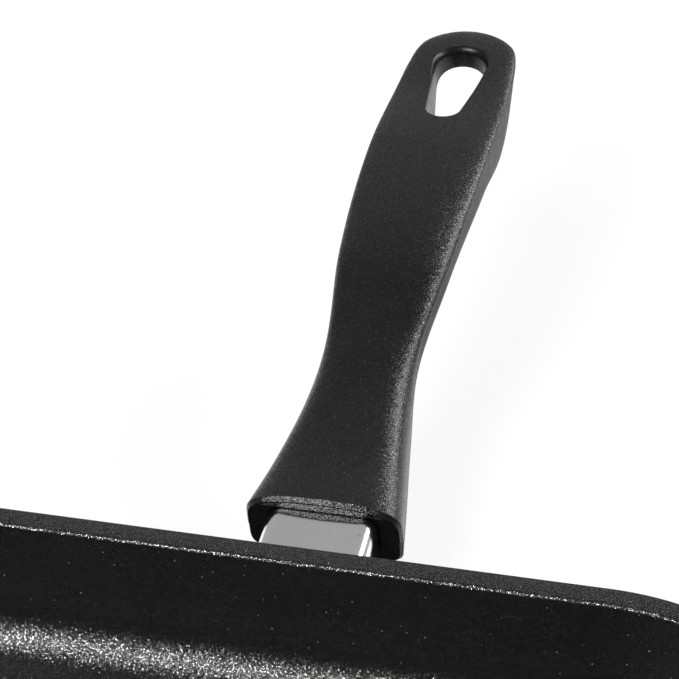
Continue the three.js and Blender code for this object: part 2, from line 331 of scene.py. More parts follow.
    def bump(self, height: bpy.types.NodeSocket, depth: float) -> bpy.types.NodeSocket:
        """Turn a height pattern into a surface direction.

        Args:
            height: The pattern, about 0 to 1.
            depth: How deep the pattern is, in metres.

        Returns:
            The surface direction.
        """
        node = self.tree.nodes.new("ShaderNodeBump")
        node.inputs["Strength"].default_value = 1.0
        node.inputs["Distance"].default_value = depth
        self.link(height, node.inputs["Height"])
        return node.outputs["Normal"]

    def facets(self, size: float, lean: float) -> bpy.types.NodeSocket:
        """Break a surface into tiny flat facets that each lean their own way.

        Args:
            size: Size of a facet, in metres.
            lean: Most that a facet leans along each axis, as a slope.

        Returns:
            The surface direction.
        """
        cells = self.tree.nodes.new("ShaderNodeTexVoronoi")
        self.link(self.place, cells.inputs["Vector"])
        cells.inputs["Scale"].default_value = 1.0 / size
        tilt = self.tree.nodes.new("ShaderNodeVectorMath")
        tilt.operation = "MULTIPLY_ADD"
        self.link(cells.outputs["Color"], tilt.inputs[0])
        tilt.inputs[1].default_value = (2.0 * lean,) * 3
        tilt.inputs[2].default_value = (-lean,) * 3
        total = self.tree.nodes.new("ShaderNodeVectorMath")
        total.operation = "ADD"
        self.link(tilt.outputs["Vector"], total.inputs[0])
        self.link(self.tree.nodes.new("ShaderNodeNewGeometry").outputs["Normal"], total.inputs[1])
        unit = self.tree.nodes.new("ShaderNodeVectorMath")
        unit.operation = "NORMALIZE"
        self.link(total.outputs["Vector"], unit.inputs[0])
        return unit.outputs["Vector"]

    def surface(self, **inputs: Union[bpy.types.NodeSocket, float, Point]) -> bpy.types.Material:
        """Close the tree with one principled surface.

        Args:
            inputs: Its inputs, with an underscore for each space in their names.

        Returns:
            The finished material.
        """
        shader = self.tree.nodes.new("ShaderNodeBsdfPrincipled")
        for name, value in inputs.items():
            self.put(shader.inputs[name.replace("_", " ")], value)
        self.link(shader.outputs["BSDF"], self.output.inputs["Surface"])
        return self.material


def grey(value: float, warmth: float = 0.0) -> tuple[float, float, float, float]:
    """Give a near-grey colour, with warmth added to red and taken from blue."""
    return (value * (1.0 + warmth), value, value * (1.0 - warmth), 1.0)


@dataclass(frozen=True)
class NonstickCoating:
    """Black fluoropolymer coating: a fine peel that sparkles in the light, and sparse pale flecks."""

    name: str = "nonstick_coating"
    shade: float = 0.0088
    dark: float = 0.8
    pale: float = 1.25
    cloud: float = 0.03
    facet: float = 0.0002
    facet_lean: float = 0.2
    flake_spacing: float = 0.0003
    flake_radius: float = 0.00009
    flake_share: float = 1.0
    flake_shade: float = 0.45
    fleck_spacing: float = 0.0022
    fleck_radius: float = 0.00017
    fleck_share: float = 0.6
    fleck_shade: float = 0.6
    patch: float = 0.004
    sleekest: float = 0.2
    roughest: float = 0.26

    def build(self) -> bpy.types.Material:
        """Build the material.

        Returns:
            The coating.
        """
        nodes = Nodes(self.name)
        tone = nodes.clouded(self.cloud, self.shade, self.dark, self.pale)
        flakes = nodes.specks(self.flake_spacing, self.flake_radius, self.flake_share)
        colour = nodes.blend(flakes, tone, grey(self.flake_shade))
        flecks = nodes.flecks(self.fleck_spacing, self.fleck_radius, self.fleck_share)
        return nodes.surface(
            Base_Color=nodes.blend(flecks, colour, grey(self.fleck_shade)),
            Metallic=flakes,
            Roughness=nodes.mottled(self.patch, self.sleekest, self.roughest),
            Normal=nodes.facets(self.facet, self.facet_lean),
            IOR=REFRACTION,
        )


@dataclass(frozen=True)
class MouldedPhenolic:
    """Black moulded resin with the tool's spark-eroded grain and small sparkles."""

    name: str = "phenolic"
    shade: float = 0.0065
    facet: float = 0.00022
    facet_lean: float = 0.17
    rough: float = 0.3
    sparkle_share: float = 0.8
    specular: float = 0.5
    cloud: float = 0.018
    sparkle_spacing: float = 0.0007
    sparkle_radius: float = 0.00012
    sparkle_shade: float = 0.25
    patch: float = 0.006
    dark: float = 0.85
    pale: float = 1.15
    sleeker: float = 0.03
    rougher: float = 0.04

    def build(self) -> bpy.types.Material:
        """Build the material.

        Returns:
            The resin.
        """
        nodes = Nodes(self.name)
        tone = nodes.clouded(self.cloud, self.shade, self.dark, self.pale)
        sparkles = nodes.specks(self.sparkle_spacing, self.sparkle_radius, self.sparkle_share)
        return nodes.surface(
            Base_Color=nodes.blend(sparkles, tone, grey(self.sparkle_shade)),
            Metallic=sparkles,
            Roughness=nodes.mottled(self.patch, self.rough - self.sleeker, self.rough + self.rougher),
            Normal=nodes.facets(self.facet, self.facet_lean),
            IOR=REFRACTION,
            Specular_IOR_Level=self.specular,
        )


@dataclass(frozen=True)
class SatinSteel:
    """Stainless sheet with a fine grain along the handle and a few rubbed marks."""

    name: str = "satin_steel"
    shade: float = 0.96
    dark: float = 0.93
    pale: float = 1.04
    cloud: float = 0.012
    hairs_across: float = 9000.0
    hairs_along: float = 160.0
    hair_depth: float = 0.000002
    uneven: float = 0.6
    mark: float = 0.0022
    mark_shade: float = 0.45
    mark_low: float = 0.66
    mark_high: float = 0.74
    mark_strength: float = 0.5
    sleekest: float = 0.1
    roughest: float = 0.18

    def build(self) -> bpy.types.Material:
        """Build the material.

        Returns:
            The steel.
        """
        nodes = Nodes(self.name)
        grain = nodes.stretch((self.hairs_across, self.hairs_along, self.hairs_across))
        hair = nodes.noise(1.0, nodes.fine, self.uneven, grain)
        tone = nodes.clouded(self.cloud, self.shade, self.dark, self.pale)
        rubbed = nodes.noise(self.mark, nodes.fine, self.uneven)
        marks = nodes.ramp(rubbed, self.mark_low, self.mark_high, 0.0, self.mark_strength)
        return nodes.surface(
            Base_Color=nodes.blend(marks, tone, grey(self.shade * self.mark_shade)),
            Metallic=1.0,
            Roughness=nodes.ramp(hair, nodes.hair_low, nodes.hair_high, self.sleekest, self.roughest),
            Normal=nodes.bump(hair, self.hair_depth),
        )


@dataclass(frozen=True)
class TurnedPlate:
    """Magnetic stainless disc with concentric brushing."""

    name: str = "plate_steel"
    shade: float = 0.5
    dark: float = 0.9
    pale: float = 1.08
    cloud: float = 0.025
    hairs_across: float = 2600.0
    hair_depth: float = 0.000008
    sleekest: float = 0.28
    roughest: float = 0.44

    def build(self) -> bpy.types.Material:
        """Build the material.

        Returns:
            The steel.
        """
        nodes = Nodes(self.name)
        radius = nodes.tree.nodes.new("ShaderNodeVectorMath")
        radius.operation = "LENGTH"
        nodes.link(nodes.stretch((1.0, 1.0, 0.0)), radius.inputs[0])
        rings = nodes.tree.nodes.new("ShaderNodeTexNoise")
        rings.noise_dimensions = "1D"
        nodes.link(radius.outputs["Value"], rings.inputs["W"])
        rings.inputs["Scale"].default_value = self.hairs_across
        rings.inputs["Detail"].default_value = nodes.fine
        hair = rings.outputs["Fac"]
        return nodes.surface(
            Base_Color=nodes.clouded(self.cloud, self.shade, self.dark, self.pale),
            Metallic=1.0,
            Roughness=nodes.ramp(hair, nodes.hair_low, nodes.hair_high, self.sleekest, self.roughest),
            Normal=nodes.bump(hair, self.hair_depth),
        )


@dataclass(frozen=True)
class ZincPlating:
    """Bright zinc on steel, with a faint cloud of straw and blue."""

    name: str = "zinc_steel"
    shade: float = 0.56
    cloud: float = 0.0025
    straw: float = 0.03
    blue: float = 0.04
    blue_lift: float = 1.05
    patch: float = 0.0006
    sleekest: float = 0.28
    roughest: float = 0.42
    pit: float = 0.0004
    pit_depth: float = 0.000004

    def build(self) -> bpy.types.Material:
        """Build the material.

        Returns:
            The plating.
        """
        nodes = Nodes(self.name)
        clouds = nodes.noise(self.cloud, nodes.fine)
        straw = grey(self.shade, self.straw)
        blue = grey(self.shade * self.blue_lift, -self.blue)
        return nodes.surface(
            Base_Color=nodes.blend(clouds, straw, blue),
            Metallic=1.0,
            Roughness=nodes.mottled(self.patch, self.sleekest, self.roughest),
            Normal=nodes.bump(nodes.noise(self.pit), self.pit_depth),
        )


@dataclass(frozen=True)
class BareAluminium:
    """Uncoated aluminium with a fine blasted skin."""

    name: str = "bare_aluminium"
    shade: float = 0.6
    dark: float = 0.88
    pale: float = 1.06
    cloud: float = 0.004
    patch: float = 0.0012
    sleekest: float = 0.42
    roughest: float = 0.58
    pit: float = 0.0005
    pit_depth: float = 0.00001

    def build(self) -> bpy.types.Material:
        """Build the material.

        Returns:
            The aluminium.
        """
        nodes = Nodes(self.name)
        return nodes.surface(
            Base_Color=nodes.clouded(self.cloud, self.shade, self.dark, self.pale),
            Metallic=1.0,
            Roughness=nodes.mottled(self.patch, self.sleekest, self.roughest),
            Normal=nodes.bump(nodes.noise(self.pit), self.pit_depth),
        )


@dataclass(frozen=True)
class StudioFloor:
    """Floor that reads as white to the camera and in gloss, and still takes the object's shadow."""

    name: str = "studio_floor"
    shade: float = 0.22
    dark: float = 0.99
    lift: float = 0.83
    cloud: float = 0.4

    def build(self) -> bpy.types.Material:
        """Build the material.

        Returns:
            The floor.
        """
        nodes = Nodes(self.name)
        tone = nodes.blend(nodes.noise(self.cloud), grey(self.shade * self.dark), grey(self.shade))
        matt = nodes.tree.nodes.new("ShaderNodeBsdfDiffuse")
        nodes.link(tone, matt.inputs["Color"])
        path = nodes.tree.nodes.new("ShaderNodeLightPath")
        seen = nodes.maths("MAXIMUM", path.outputs["Is Camera Ray"], path.outputs["Is Glossy Ray"])
        seen = nodes.maths("MAXIMUM", seen, path.outputs["Is Transmission Ray"])
        glow = nodes.tree.nodes.new("ShaderNodeEmission")
        nodes.link(nodes.maths("MULTIPLY", seen, self.lift), glow.inputs["Strength"])
        both = nodes.tree.nodes.new("ShaderNodeAddShader")
        nodes.link(matt.outputs["BSDF"], both.inputs[0])
        nodes.link(glow.outputs["Emission"], both.inputs[1])
        nodes.link(both.outputs["Shader"], nodes.output.inputs["Surface"])
        return nodes.material


def verts_of(items: Iterable[object]) -> list[Vert]:
    """Pick the vertices out of an operator's result."""
    return [item for item in items if isinstance(item, bmesh.types.BMVert)]


def edges_of(items: Iterable[object]) -> list[Edge]:
    """Pick the edges out of an operator's result."""
    return [item for item in items if isinstance(item, bmesh.types.BMEdge)]


def parts_of(faces: Sequence[Face]) -> list[object]:
    """List faces with their edges and vertices, each once.

    Args:
        faces: The faces.

    Returns:
        All of their parts, as the cutting operators want them.
    """
    edges = {edge for face in faces for edge in face.edges}
    verts = {vert for face in faces for vert in face.verts}
    return [*verts, *edges, *faces]


def ends_of(edges: Iterable[Edge]) -> list[Vert]:
    """List the vertices of edges, each once."""
    return list({vert for edge in edges for vert in edge.verts})


def edges_at(verts: Iterable[Vert]) -> list[Edge]:
    """List the edges that meet at vertices, each once."""
    return list({edge for vert in verts for edge in vert.link_edges})


def spin(
    shape: Shape,
    geometry: Sequence[object],
    centre: Point,
    axis: Axis,
    angle: float,
    steps: int,
    rise: Point = (0.0, 0.0, 0.0),
) -> list[object]:
    """Sweep geometry round an axis.

    Args:
        shape: The mesh to work in.
        geometry: What to sweep.
        centre: A point on the axis.
        axis: The axis.
        angle: How far to sweep, in radians.
        steps: How many steps the sweep has.
        rise: Shift along the way at each step.

    Returns:
        The geometry at the far end.
    """
    full = math.isclose(abs(angle), 2.0 * math.pi)
    made = bmesh.ops.spin(
        shape,
        geom=list(geometry),
        cent=Vector(centre),
        axis=Vector(axis.value),
        dvec=Vector(rise),
        angle=angle,
        steps=steps,
        use_merge=full,
        use_normal_flip=False,
        use_duplicate=False,
    )
    return made["geom_last"]


def push(shape: Shape, edges: Sequence[Edge], way: Point) -> list[Edge]:
    """Extrude edges straight.

    Args:
        shape: The mesh to work in.
        edges: The edges to extrude.
        way: How far and which way.

    Returns:
        The edges at the far end.
    """
    made = bmesh.ops.extrude_edge_only(shape, edges=list(edges))["geom"]
    bmesh.ops.translate(shape, verts=verts_of(made), vec=Vector(way))
    far = set(verts_of(made))
    return [edge for edge in edges_of(made) if all(vert in far for vert in edge.verts)]


def grow_ring(shape: Shape, edges: Sequence[Edge]) -> tuple[list[Edge], dict[Vert, Vert]]:
    """Extrude a ring of edges in place, ready to be moved.

    Args:
        shape: The mesh to work in.
        edges: The ring's edges.

    Returns:
        The new ring's edges, and the new vertex of each old one.
    """
    made = bmesh.ops.extrude_edge_only(shape, edges=list(edges))["geom"]
    new = set(verts_of(made))
    following = {}
    for vert in new:
        for edge in vert.link_edges:
            other = edge.other_vert(vert)
            if other not in new:
                following[other] = vert
    return [edge for edge in edges_of(made) if all(vert in new for vert in edge.verts)], following


def thicken(shape: Shape, way: Point) -> None:
    """Extrude a flat shape straight.

    Args:
        shape: The mesh to work in.
        way: How far and which way.
    """
    made = bmesh.ops.extrude_face_region(shape, geom=shape.faces)["geom"]
    bmesh.ops.translate(shape, verts=verts_of(made), vec=way)


def rounded_face(shape: Shape, width: float, height: float, corner: float, steps: int) -> Face:
    """Draw a flat rectangle with round corners, the first face of a mesh.

    Args:
        shape: The empty mesh to draw in.
        width: Its width along X.
        height: Its height along Y.
        corner: Radius of its corners.
        steps: How many steps a corner has.

    Returns:
        The face.
    """
    bmesh.ops.create_grid(shape, x_segments=1, y_segments=1, size=0.5)
    bmesh.ops.scale(shape, verts=shape.verts, vec=(width, height, 1.0))
    bmesh.ops.bevel(
        shape, geom=shape.verts, offset=corner, affect="VERTICES", segments=steps, profile=0.5, material=-1
    )
    return list(shape.faces)[0]


def split_faces(shape: Shape, faces: Sequence[Face], place: Point, axis: Axis) -> None:
    """Cut faces along a plane and keep both sides.

    Args:
        shape: The mesh to work in.
        faces: The faces to cut.
        place: A point of the plane.
        axis: The plane's normal.
    """
    bmesh.ops.bisect_plane(
        shape, geom=parts_of(faces), dist=NEAR / 10.0, plane_co=Vector(place), plane_no=Vector(axis.value)
    )


def standing_at(along: float) -> Matrix:
    """Give the place of a circle that stands across the Y axis."""
    return Matrix.Translation((0.0, along, 0.0)) @ UPRIGHT.to_4x4()


class Pen:
    """Draws a wire profile from one vertex, with straight runs and turns."""

    def __init__(self, shape: Shape, start: Point) -> None:
        """Set the pen down.

        Args:
            shape: The mesh to draw in.
            start: Where the profile starts.
        """
        self.shape = shape
        self.known = set(shape.edges)
        self.tip = bmesh.ops.create_vert(shape, co=Vector(start))["vert"][0]

    def line(self, end: Point) -> "Pen":
        """Draw straight to a point.

        Args:
            end: Where to go.

        Returns:
            The pen.
        """
        self.tip = verts_of(bmesh.ops.extrude_vert_indiv(self.shape, verts=[self.tip])["verts"])[0]
        bmesh.ops.translate(self.shape, verts=[self.tip], vec=Vector(end) - self.tip.co)
        return self

    def turn(self, centre: Point, axis: Axis, degrees: float, steps: int) -> "Pen":
        """Draw an arc.

        Args:
            centre: Centre of the arc.
            axis: Axis of the turn.
            degrees: How far to turn.
            steps: How many steps the arc has.

        Returns:
            The pen.
        """
        far = spin(self.shape, [self.tip], centre, axis, math.radians(degrees), steps)
        self.tip = verts_of(far)[0]
        return self

    def edges(self) -> list[Edge]:
        """List what was drawn."""
        return [edge for edge in self.shape.edges if edge not in self.known]


def clean(shape: Shape, distance: float = NEAR / 10.0) -> None:
    """Merge doubles and turn all faces outwards.

    Args:
        shape: The mesh to clean.
        distance: How near two vertices have to be to become one, in millimetres.
    """
    bmesh.ops.remove_doubles(shape, verts=shape.verts, dist=distance)
    bmesh.ops.dissolve_degenerate(shape, edges=shape.edges, dist=distance / 10.0)
    bmesh.ops.recalc_face_normals(shape, faces=shape.faces)


def piece_from(name: str, shape: Shape, materials: Sequence[bpy.types.Material]) -> bpy.types.Object:
    """Make an object of a mesh that was modelled in millimetres.

    Args:
        name: The piece's name.
        shape: The mesh, which is used up.
        materials: Its materials, in the order of its faces' indices.

    Returns:
        The object, at the origin.
    """
    bmesh.ops.scale(shape, verts=shape.verts, vec=Vector((MILLIMETRE,) * 3))
    mesh = bpy.data.meshes.new(name)
    shape.to_mesh(mesh)
    shape.free()
    for material in materials:
        mesh.materials.append(material)
    piece = bpy.data.objects.new(name, mesh)
    bpy.context.scene.collection.objects.link(piece)
    return piece


def soften(piece: bpy.types.Object, degrees: float) -> None:
    """Shade a piece smooth, with sharp edges where its faces meet at more than an angle."""
    piece.data.shade_smooth()
    piece.data.set_sharp_from_angle(angle=math.radians(degrees))


def settle(piece: bpy.types.Object) -> None:
    """Work a piece's modifiers into its mesh.

    Args:
        piece: The piece.
    """
    bpy.context.view_layer.update()
    graph = bpy.context.evaluated_depsgraph_get()
    finished = bpy.data.meshes.new_from_object(piece.evaluated_get(graph))
    piece.modifiers.clear()
    spare = piece.data
    piece.data = finished
    finished.name = spare.name
    bpy.data.meshes.remove(spare)


def carve(piece: bpy.types.Object, tools: Sequence[bpy.types.Object]) -> None:
    """Cut shapes out of a piece and leave it a plain mesh.

    Args:
        piece: What to cut.
        tools: The shapes to cut out, which are removed afterwards.
    """
    for tool in tools:
        cut = piece.modifiers.new(tool.name, "BOOLEAN")
        cut.operation = "DIFFERENCE"
        cut.solver = "EXACT"
        cut.object = tool
        cut.material_mode = "INDEX"
    settle(piece)
    for tool in tools:
        mesh = tool.data
        bpy.data.objects.remove(tool)
        bpy.data.meshes.remove(mesh)


def stand_for(piece: bpy.types.Object, node: str) -> None:
    """Let a piece take a node's place in the model.

    Args:
        piece: The piece.
        node: The node that it stands for.
    """
    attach(piece, BODY)
    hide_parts(node)
    log.info("%s: %d faces", piece.name, len(piece.data.polygons))


def ease(value: float) -> float:
    """Rise smoothly from 0 to 1."""
    part = min(max(value, 0.0), 1.0)
    return part * part * (3.0 - 2.0 * part)


def edge_of(inside: Callable[[float], bool], low: float, high: float) -> float:
    """Search a stretch for the place where a test stops holding.

    Args:
        inside: The test, which holds at the start.
        low: Start of the stretch.
        high: Its end.

    Returns:
        The last place that is still inside.
    """
    for _ in range(HALVINGS):
        middle = (low + high) / 2.0
        low, high = (middle, high) if inside(middle) else (low, middle)
    return low


@dataclass
class BasePlate:
    """Perforated disc that lies flush in the base."""

    diameter: float = 190.0
    thickness: float = 0.8
    hole: float = 5.0
    rings: int = 4
    ring_step: float = 19.0
    first_ring: int = 6
    edge: float = 0.18
    edge_steps: int = 2
    steps: int = 128
    hole_steps: int = 18
    rim_turn: float = 1.0
    sharp: float = 40.0

    def holes(self) -> list[tuple[float, float]]:
        """Place the holes in rings round the middle.

        Returns:
            Each hole's X and Y.
        """
        found = []
        for row in range(1, self.rings + 1):
            count = self.first_ring * row
            radius = self.ring_step * row
            for index in range(count):
                angle = 2.0 * math.pi * index / count
                found.append((radius * math.cos(angle), radius * math.sin(angle)))
        return found

    def build(self, steel: bpy.types.Material) -> bpy.types.Object:
        """Model the plate.

        Args:
            steel: Its finish.

        Returns:
            The piece.
        """
        shape = bmesh.new()
        bmesh.ops.create_circle(shape, segments=self.steps, radius=self.diameter / 2.0)
        for x, y in self.holes():
            place = Matrix.Translation((x, y, 0.0))
            bmesh.ops.create_circle(shape, segments=self.hole_steps, radius=self.hole / 2.0, matrix=place)
        bmesh.ops.triangle_fill(shape, edges=shape.edges, use_beauty=True)
        thicken(shape, (0.0, 0.0, self.thickness))
        clean(shape)
        rims = [edge for edge in shape.edges if edge.calc_face_angle(0.0) > self.rim_turn]
        bmesh.ops.bevel(
            shape,
            geom=rims,
            offset=self.edge,
            affect="EDGES",
            segments=self.edge_steps,
            profile=0.5,
            material=-1,
        )
        clean(shape)
        piece = piece_from("base_plate_brushed", shape, [steel])
        soften(piece, self.sharp)
        stand_for(piece, "base_plate")
        return piece


@dataclass
class PanBody:
    """Pressed body: floor with ribs, drafted walls, flat rim, and the recess that holds the base plate."""

    plate: BasePlate
    width: float = 280.0
    height: float = 38.0
    corner: float = 64.0
    corner_steps: int = 36
    rim_width: float = 6.3
    rim_thickness: float = 3.0
    rim_round: float = 0.5
    rim_inner: float = 1.3
    rim_steps: int = 6
    inner_steps: int = 8
    lip_round: float = 1.6
    wall: float = 3.2
    draft: float = 8.0
    floor: float = 5.0
    fillet: float = 14.0
    foot_steps: int = 10
    fillet_steps: int = 14
    rib_pitch: float = 14.0
    rib_height: float = 4.0
    rib_count: int = 15
    rib_top: float = 0.7
    rib_foot: float = 3.1
    rib_half: float = 2.5
    rib_margin: float = 4.0
    rib_end: float = 4.6
    rib_steps: int = 6
    recess_play: float = 0.3
    recess_gap: float = 0.1
    key_play: float = 0.25
    key_gap: float = 0.25
    sharp: float = 40.0

    def inner_inset(self, z: float) -> float:
        """Give the inset of the wall's inside at a height."""
        return self.rim_width + (self.height - z) * math.tan(math.radians(self.draft))

    def outer_inset(self, z: float) -> float:
        """Give the inset of the wall's outside at a height."""
        return self.inner_inset(z) - self.wall / math.cos(math.radians(self.draft))

    def outside_inset(self, z: float) -> float:
        """Give the inset of the outside at a height, with the fillet at its foot.

        Args:
            z: The height.

        Returns:
            The inset from the rim's outer edge.
        """
        radius = self.fillet + self.wall
        inset, level = self.foot(self.outer_inset, 0.0, radius)
        if z > radius * (1.0 - math.sin(math.radians(self.draft))):
            return self.outer_inset(z)
        return inset - math.sqrt(max(0.0, radius * radius - (level - z) ** 2))

    def foot(self, inset_at: Callable[[float], float], z: float, radius: float) -> tuple[float, float]:
        """Find the centre of the fillet between a flat and the drafted wall.

        Args:
            inset_at: Inset of the wall at a height.
            z: Height of the flat.
            radius: Radius of the fillet.

        Returns:
            The centre's inset and height.
        """
        return inset_at(z + radius) + radius / math.cos(math.radians(self.draft)), z + radius

    def at(self, inset: float, z: float) -> tuple[float, float, float]:
        """Give a point of the profile on the right-hand wall, where the straight stretch starts."""
        half = self.width / 2.0
        return half - inset, self.corner - half, z

    def draw_profile(self, shape: Shape) -> list[Edge]:
        """Draw the wall from the base, over the rim, to the floor.

        Args:
            shape: The mesh to draw in.

        Returns:
            The profile's edges.
        """
        draft = math.radians(self.draft)
        lean = 90.0 - self.draft
        outer_centre = self.foot(self.outer_inset, 0.0, self.fillet + self.wall)
        pen = Pen(shape, self.at(outer_centre[0], 0.0))
        pen.turn(self.at(*outer_centre), Axis.Y, -lean, self.foot_steps)
        lip = self.height - self.rim_thickness
        under = lip - self.lip_round
        start = under - self.lip_round * math.sin(draft)
        pen.line(self.at(self.outer_inset(start), start))
        hollow_inset = self.outer_inset(under) - self.lip_round / math.cos(draft)
        pen.turn(self.at(hollow_inset, under), Axis.Y, lean, self.rim_steps)
        edge = self.rim_round
        pen.line(self.at(edge, lip))
        pen.turn(self.at(edge, lip + edge), Axis.Y, -90.0, self.rim_steps)
        pen.line(self.at(0.0, self.height - edge))
        pen.turn(self.at(edge, self.height - edge), Axis.Y, -90.0, self.rim_steps)
        bend = self.rim_width - self.rim_inner * math.tan(math.radians(lean / 2.0))
        pen.line(self.at(bend, self.height))
        pen.turn(self.at(bend, self.height - self.rim_inner), Axis.Y, -lean, self.inner_steps)
        tangent = self.floor + self.fillet * (1.0 - math.sin(draft))
        pen.line(self.at(self.inner_inset(tangent), tangent))
        inner_centre = self.foot(self.inner_inset, self.floor, self.fillet)
        pen.turn(self.at(*inner_centre), Axis.Y, lean, self.fillet_steps)
        return pen.edges()

    def sweep(self, shape: Shape, profile: Sequence[Edge]) -> None:
        """Carry the profile round the pan: four straight stretches and four corners.

        Args:
            shape: The mesh to work in.
            profile: The profile's edges.
        """
        reach = self.width / 2.0 - self.corner
        edges = list(profile)
        for way, centre in (
            ((0.0, 1.0, 0.0), (1.0, 1.0, 0.0)),
            ((-1.0, 0.0, 0.0), (-1.0, 1.0, 0.0)),
            ((0.0, -1.0, 0.0), (-1.0, -1.0, 0.0)),
            ((1.0, 0.0, 0.0), (1.0, -1.0, 0.0)),
        ):
            edges = push(shape, edges, Vector(way) * 2.0 * reach)
            geometry = [*ends_of(edges), *edges]
            far = spin(shape, geometry, Vector(centre) * reach, Axis.Z, math.pi / 2.0, self.corner_steps)
            edges = edges_of(far)

    def ribs(self) -> list[tuple[float, float]]:
        """List each rib's place and how far its ends reach.

        Returns:
            Pairs of the rib's X and its reach along Y.
        """
        inset = self.foot(self.inner_inset, self.floor, self.fillet)[0] + self.rib_margin
        half = self.width / 2.0 - inset
        radius = self.corner - inset
        found = []
        for index in range(self.rib_count):
            x = (index - (self.rib_count - 1) / 2.0) * self.rib_pitch
            past = max(0.0, abs(x) + self.rib_half - (half - radius))
            found.append((x, half - radius + math.sqrt(radius * radius - past * past)))
        return found

    def floor_faces(self, shape: Shape) -> list[Face]:
        """List the faces that lie in the floor's plane.

        Args:
            shape: The mesh to look in.

        Returns:
            The floor's faces.
        """
        level = self.floor
        return [face for face in shape.faces if all(abs(vert.co.z - level) < NEAR for vert in face.verts)]

    def raise_ribs(self, shape: Shape) -> None:
        """Cut the floor along each rib's slopes and lift it into ribs with soft crests and ends.

        Args:
            shape: The mesh to work in.
        """
        slope = self.rib_foot - self.rib_top
        steps = [self.rib_top + slope * k / self.rib_steps for k in range(self.rib_steps + 1)]
        ribs = self.ribs()
        for x, _ in ribs:
            for offset in [-step for step in reversed(steps)] + steps:
                near = [
                    face
                    for face in self.floor_faces(shape)
                    if min(v.co.x for v in face.verts) < x + offset < max(v.co.x for v in face.verts)
                ]
                split_faces(shape, near, (x + offset, 0.0, self.floor), Axis.X)
        for reach in sorted({round(reach, 4) for _, reach in ribs}):
            places = [x for x, own in ribs if abs(own - reach) < NEAR]
            for step in range(self.rib_steps + 1):
                for side in (-1.0, 1.0):
                    y = side * (reach - self.rib_end * step / self.rib_steps)
                    near = [
                        face
                        for face in self.floor_faces(shape)
                        if any(abs(face.calc_center_median().x - x) < self.rib_foot for x in places)
                        and min(v.co.y for v in face.verts) < y < max(v.co.y for v in face.verts)
                    ]
                    split_faces(shape, near, (0.0, y, self.floor), Axis.Y)
        for vert in ends_of(edge for face in self.floor_faces(shape) for edge in face.edges):
            x, reach = min(ribs, key=lambda rib: abs(rib[0] - vert.co.x))
            across = ease((self.rib_foot - abs(vert.co.x - x)) / slope)
            along = ease((reach - abs(vert.co.y)) / self.rib_end)
            vert.co.z += self.rib_height * across * along

    def close_base(self, shape: Shape, rim: Sequence[Edge]) -> None:
        """Fill the base round the recess, and raise the keys that the plate's holes take.

        Args:
            shape: The mesh to work in.
            rim: The edges round the base.
        """
        plate = self.plate
        radius = plate.diameter / 2.0 + self.recess_play
        depth = plate.thickness + self.recess_gap
        ring = bmesh.ops.create_circle(shape, segments=plate.steps, radius=radius)["verts"]
        edges = edges_at(ring)
        bmesh.ops.triangle_fill(shape, edges=[*rim, *edges], use_beauty=True)
        known = set(shape.faces)
        edges = push(shape, edges, (0.0, 0.0, depth))
        loops = []
        radius = plate.hole / 2.0 - self.key_play
        for x, y in plate.holes():
            place = Matrix.Translation((x, y, depth))
            made = bmesh.ops.create_circle(shape, segments=plate.hole_steps, radius=radius, matrix=place)
            loops.append(edges_at(made["verts"]))
        keys = [edge for loop in loops for edge in loop]
        bmesh.ops.triangle_fill(shape, edges=[*edges, *keys], use_beauty=True)
        for loop in loops:
            far = push(shape, loop, (0.0, 0.0, self.key_gap - depth))
            bmesh.ops.contextual_create(shape, geom=far)
        for face in shape.faces:
            if face not in known:
                face.material_index = 1

    def build(self, coating: bpy.types.Material, bare: bpy.types.Material) -> bpy.types.Object:
        """Model the body.

        Args:
            coating: Finish of all that shows.
            bare: Finish of the recess behind the plate.

        Returns:
            The piece.
        """
        shape = bmesh.new()
        self.sweep(shape, self.draw_profile(shape))
        bmesh.ops.remove_doubles(shape, verts=shape.verts, dist=NEAR)
        open_edges = [edge for edge in shape.edges if edge.is_boundary]
        base = [edge for edge in open_edges if edge.verts[0].co.z < self.floor / 2.0]
        floor = [edge for edge in open_edges if edge.verts[0].co.z > self.floor / 2.0]
        bmesh.ops.contextual_create(shape, geom=floor)
        self.raise_ribs(shape)
        self.close_base(shape, base)
        clean(shape)
        piece = piece_from("pan_body_coated", shape, [coating, bare])
        soften(piece, self.sharp)
        stand_for(piece, "pan_body")
        return piece


@dataclass
class HandleMount:
    """The slanted axis that the stud, the guard, the screw and the handle share."""

    pan: PanBody
    height: float = 16.8
    pitch: float = 10.0
    gap: float = 0.25
    search: float = 30.0

    def matrix(self) -> Matrix:
        """Give the mount's place: local +Y is the screw's axis."""
        y = self.pan.width / 2.0 - self.pan.outer_inset(self.height)
        return Matrix.Translation((0.0, y, self.height)) @ Matrix.Rotation(math.radians(self.pitch), 4, "X")

    def wall_at(self, rise: float) -> float:
        """Find where a line beside the axis meets the wall's outside, less the gap.

        Args:
            rise: How far the line lies above the axis, across it.

        Returns:
            The place along the axis.
        """
        place = self.matrix()

        def inside(along: float) -> bool:
            """Tell whether a place along the line is still in the wall or its gap."""
            point = place @ Vector((0.0, along, rise))
            return point.y < self.pan.width / 2.0 - self.pan.outside_inset(point.z) + self.gap

        return edge_of(inside, -self.search, self.search)


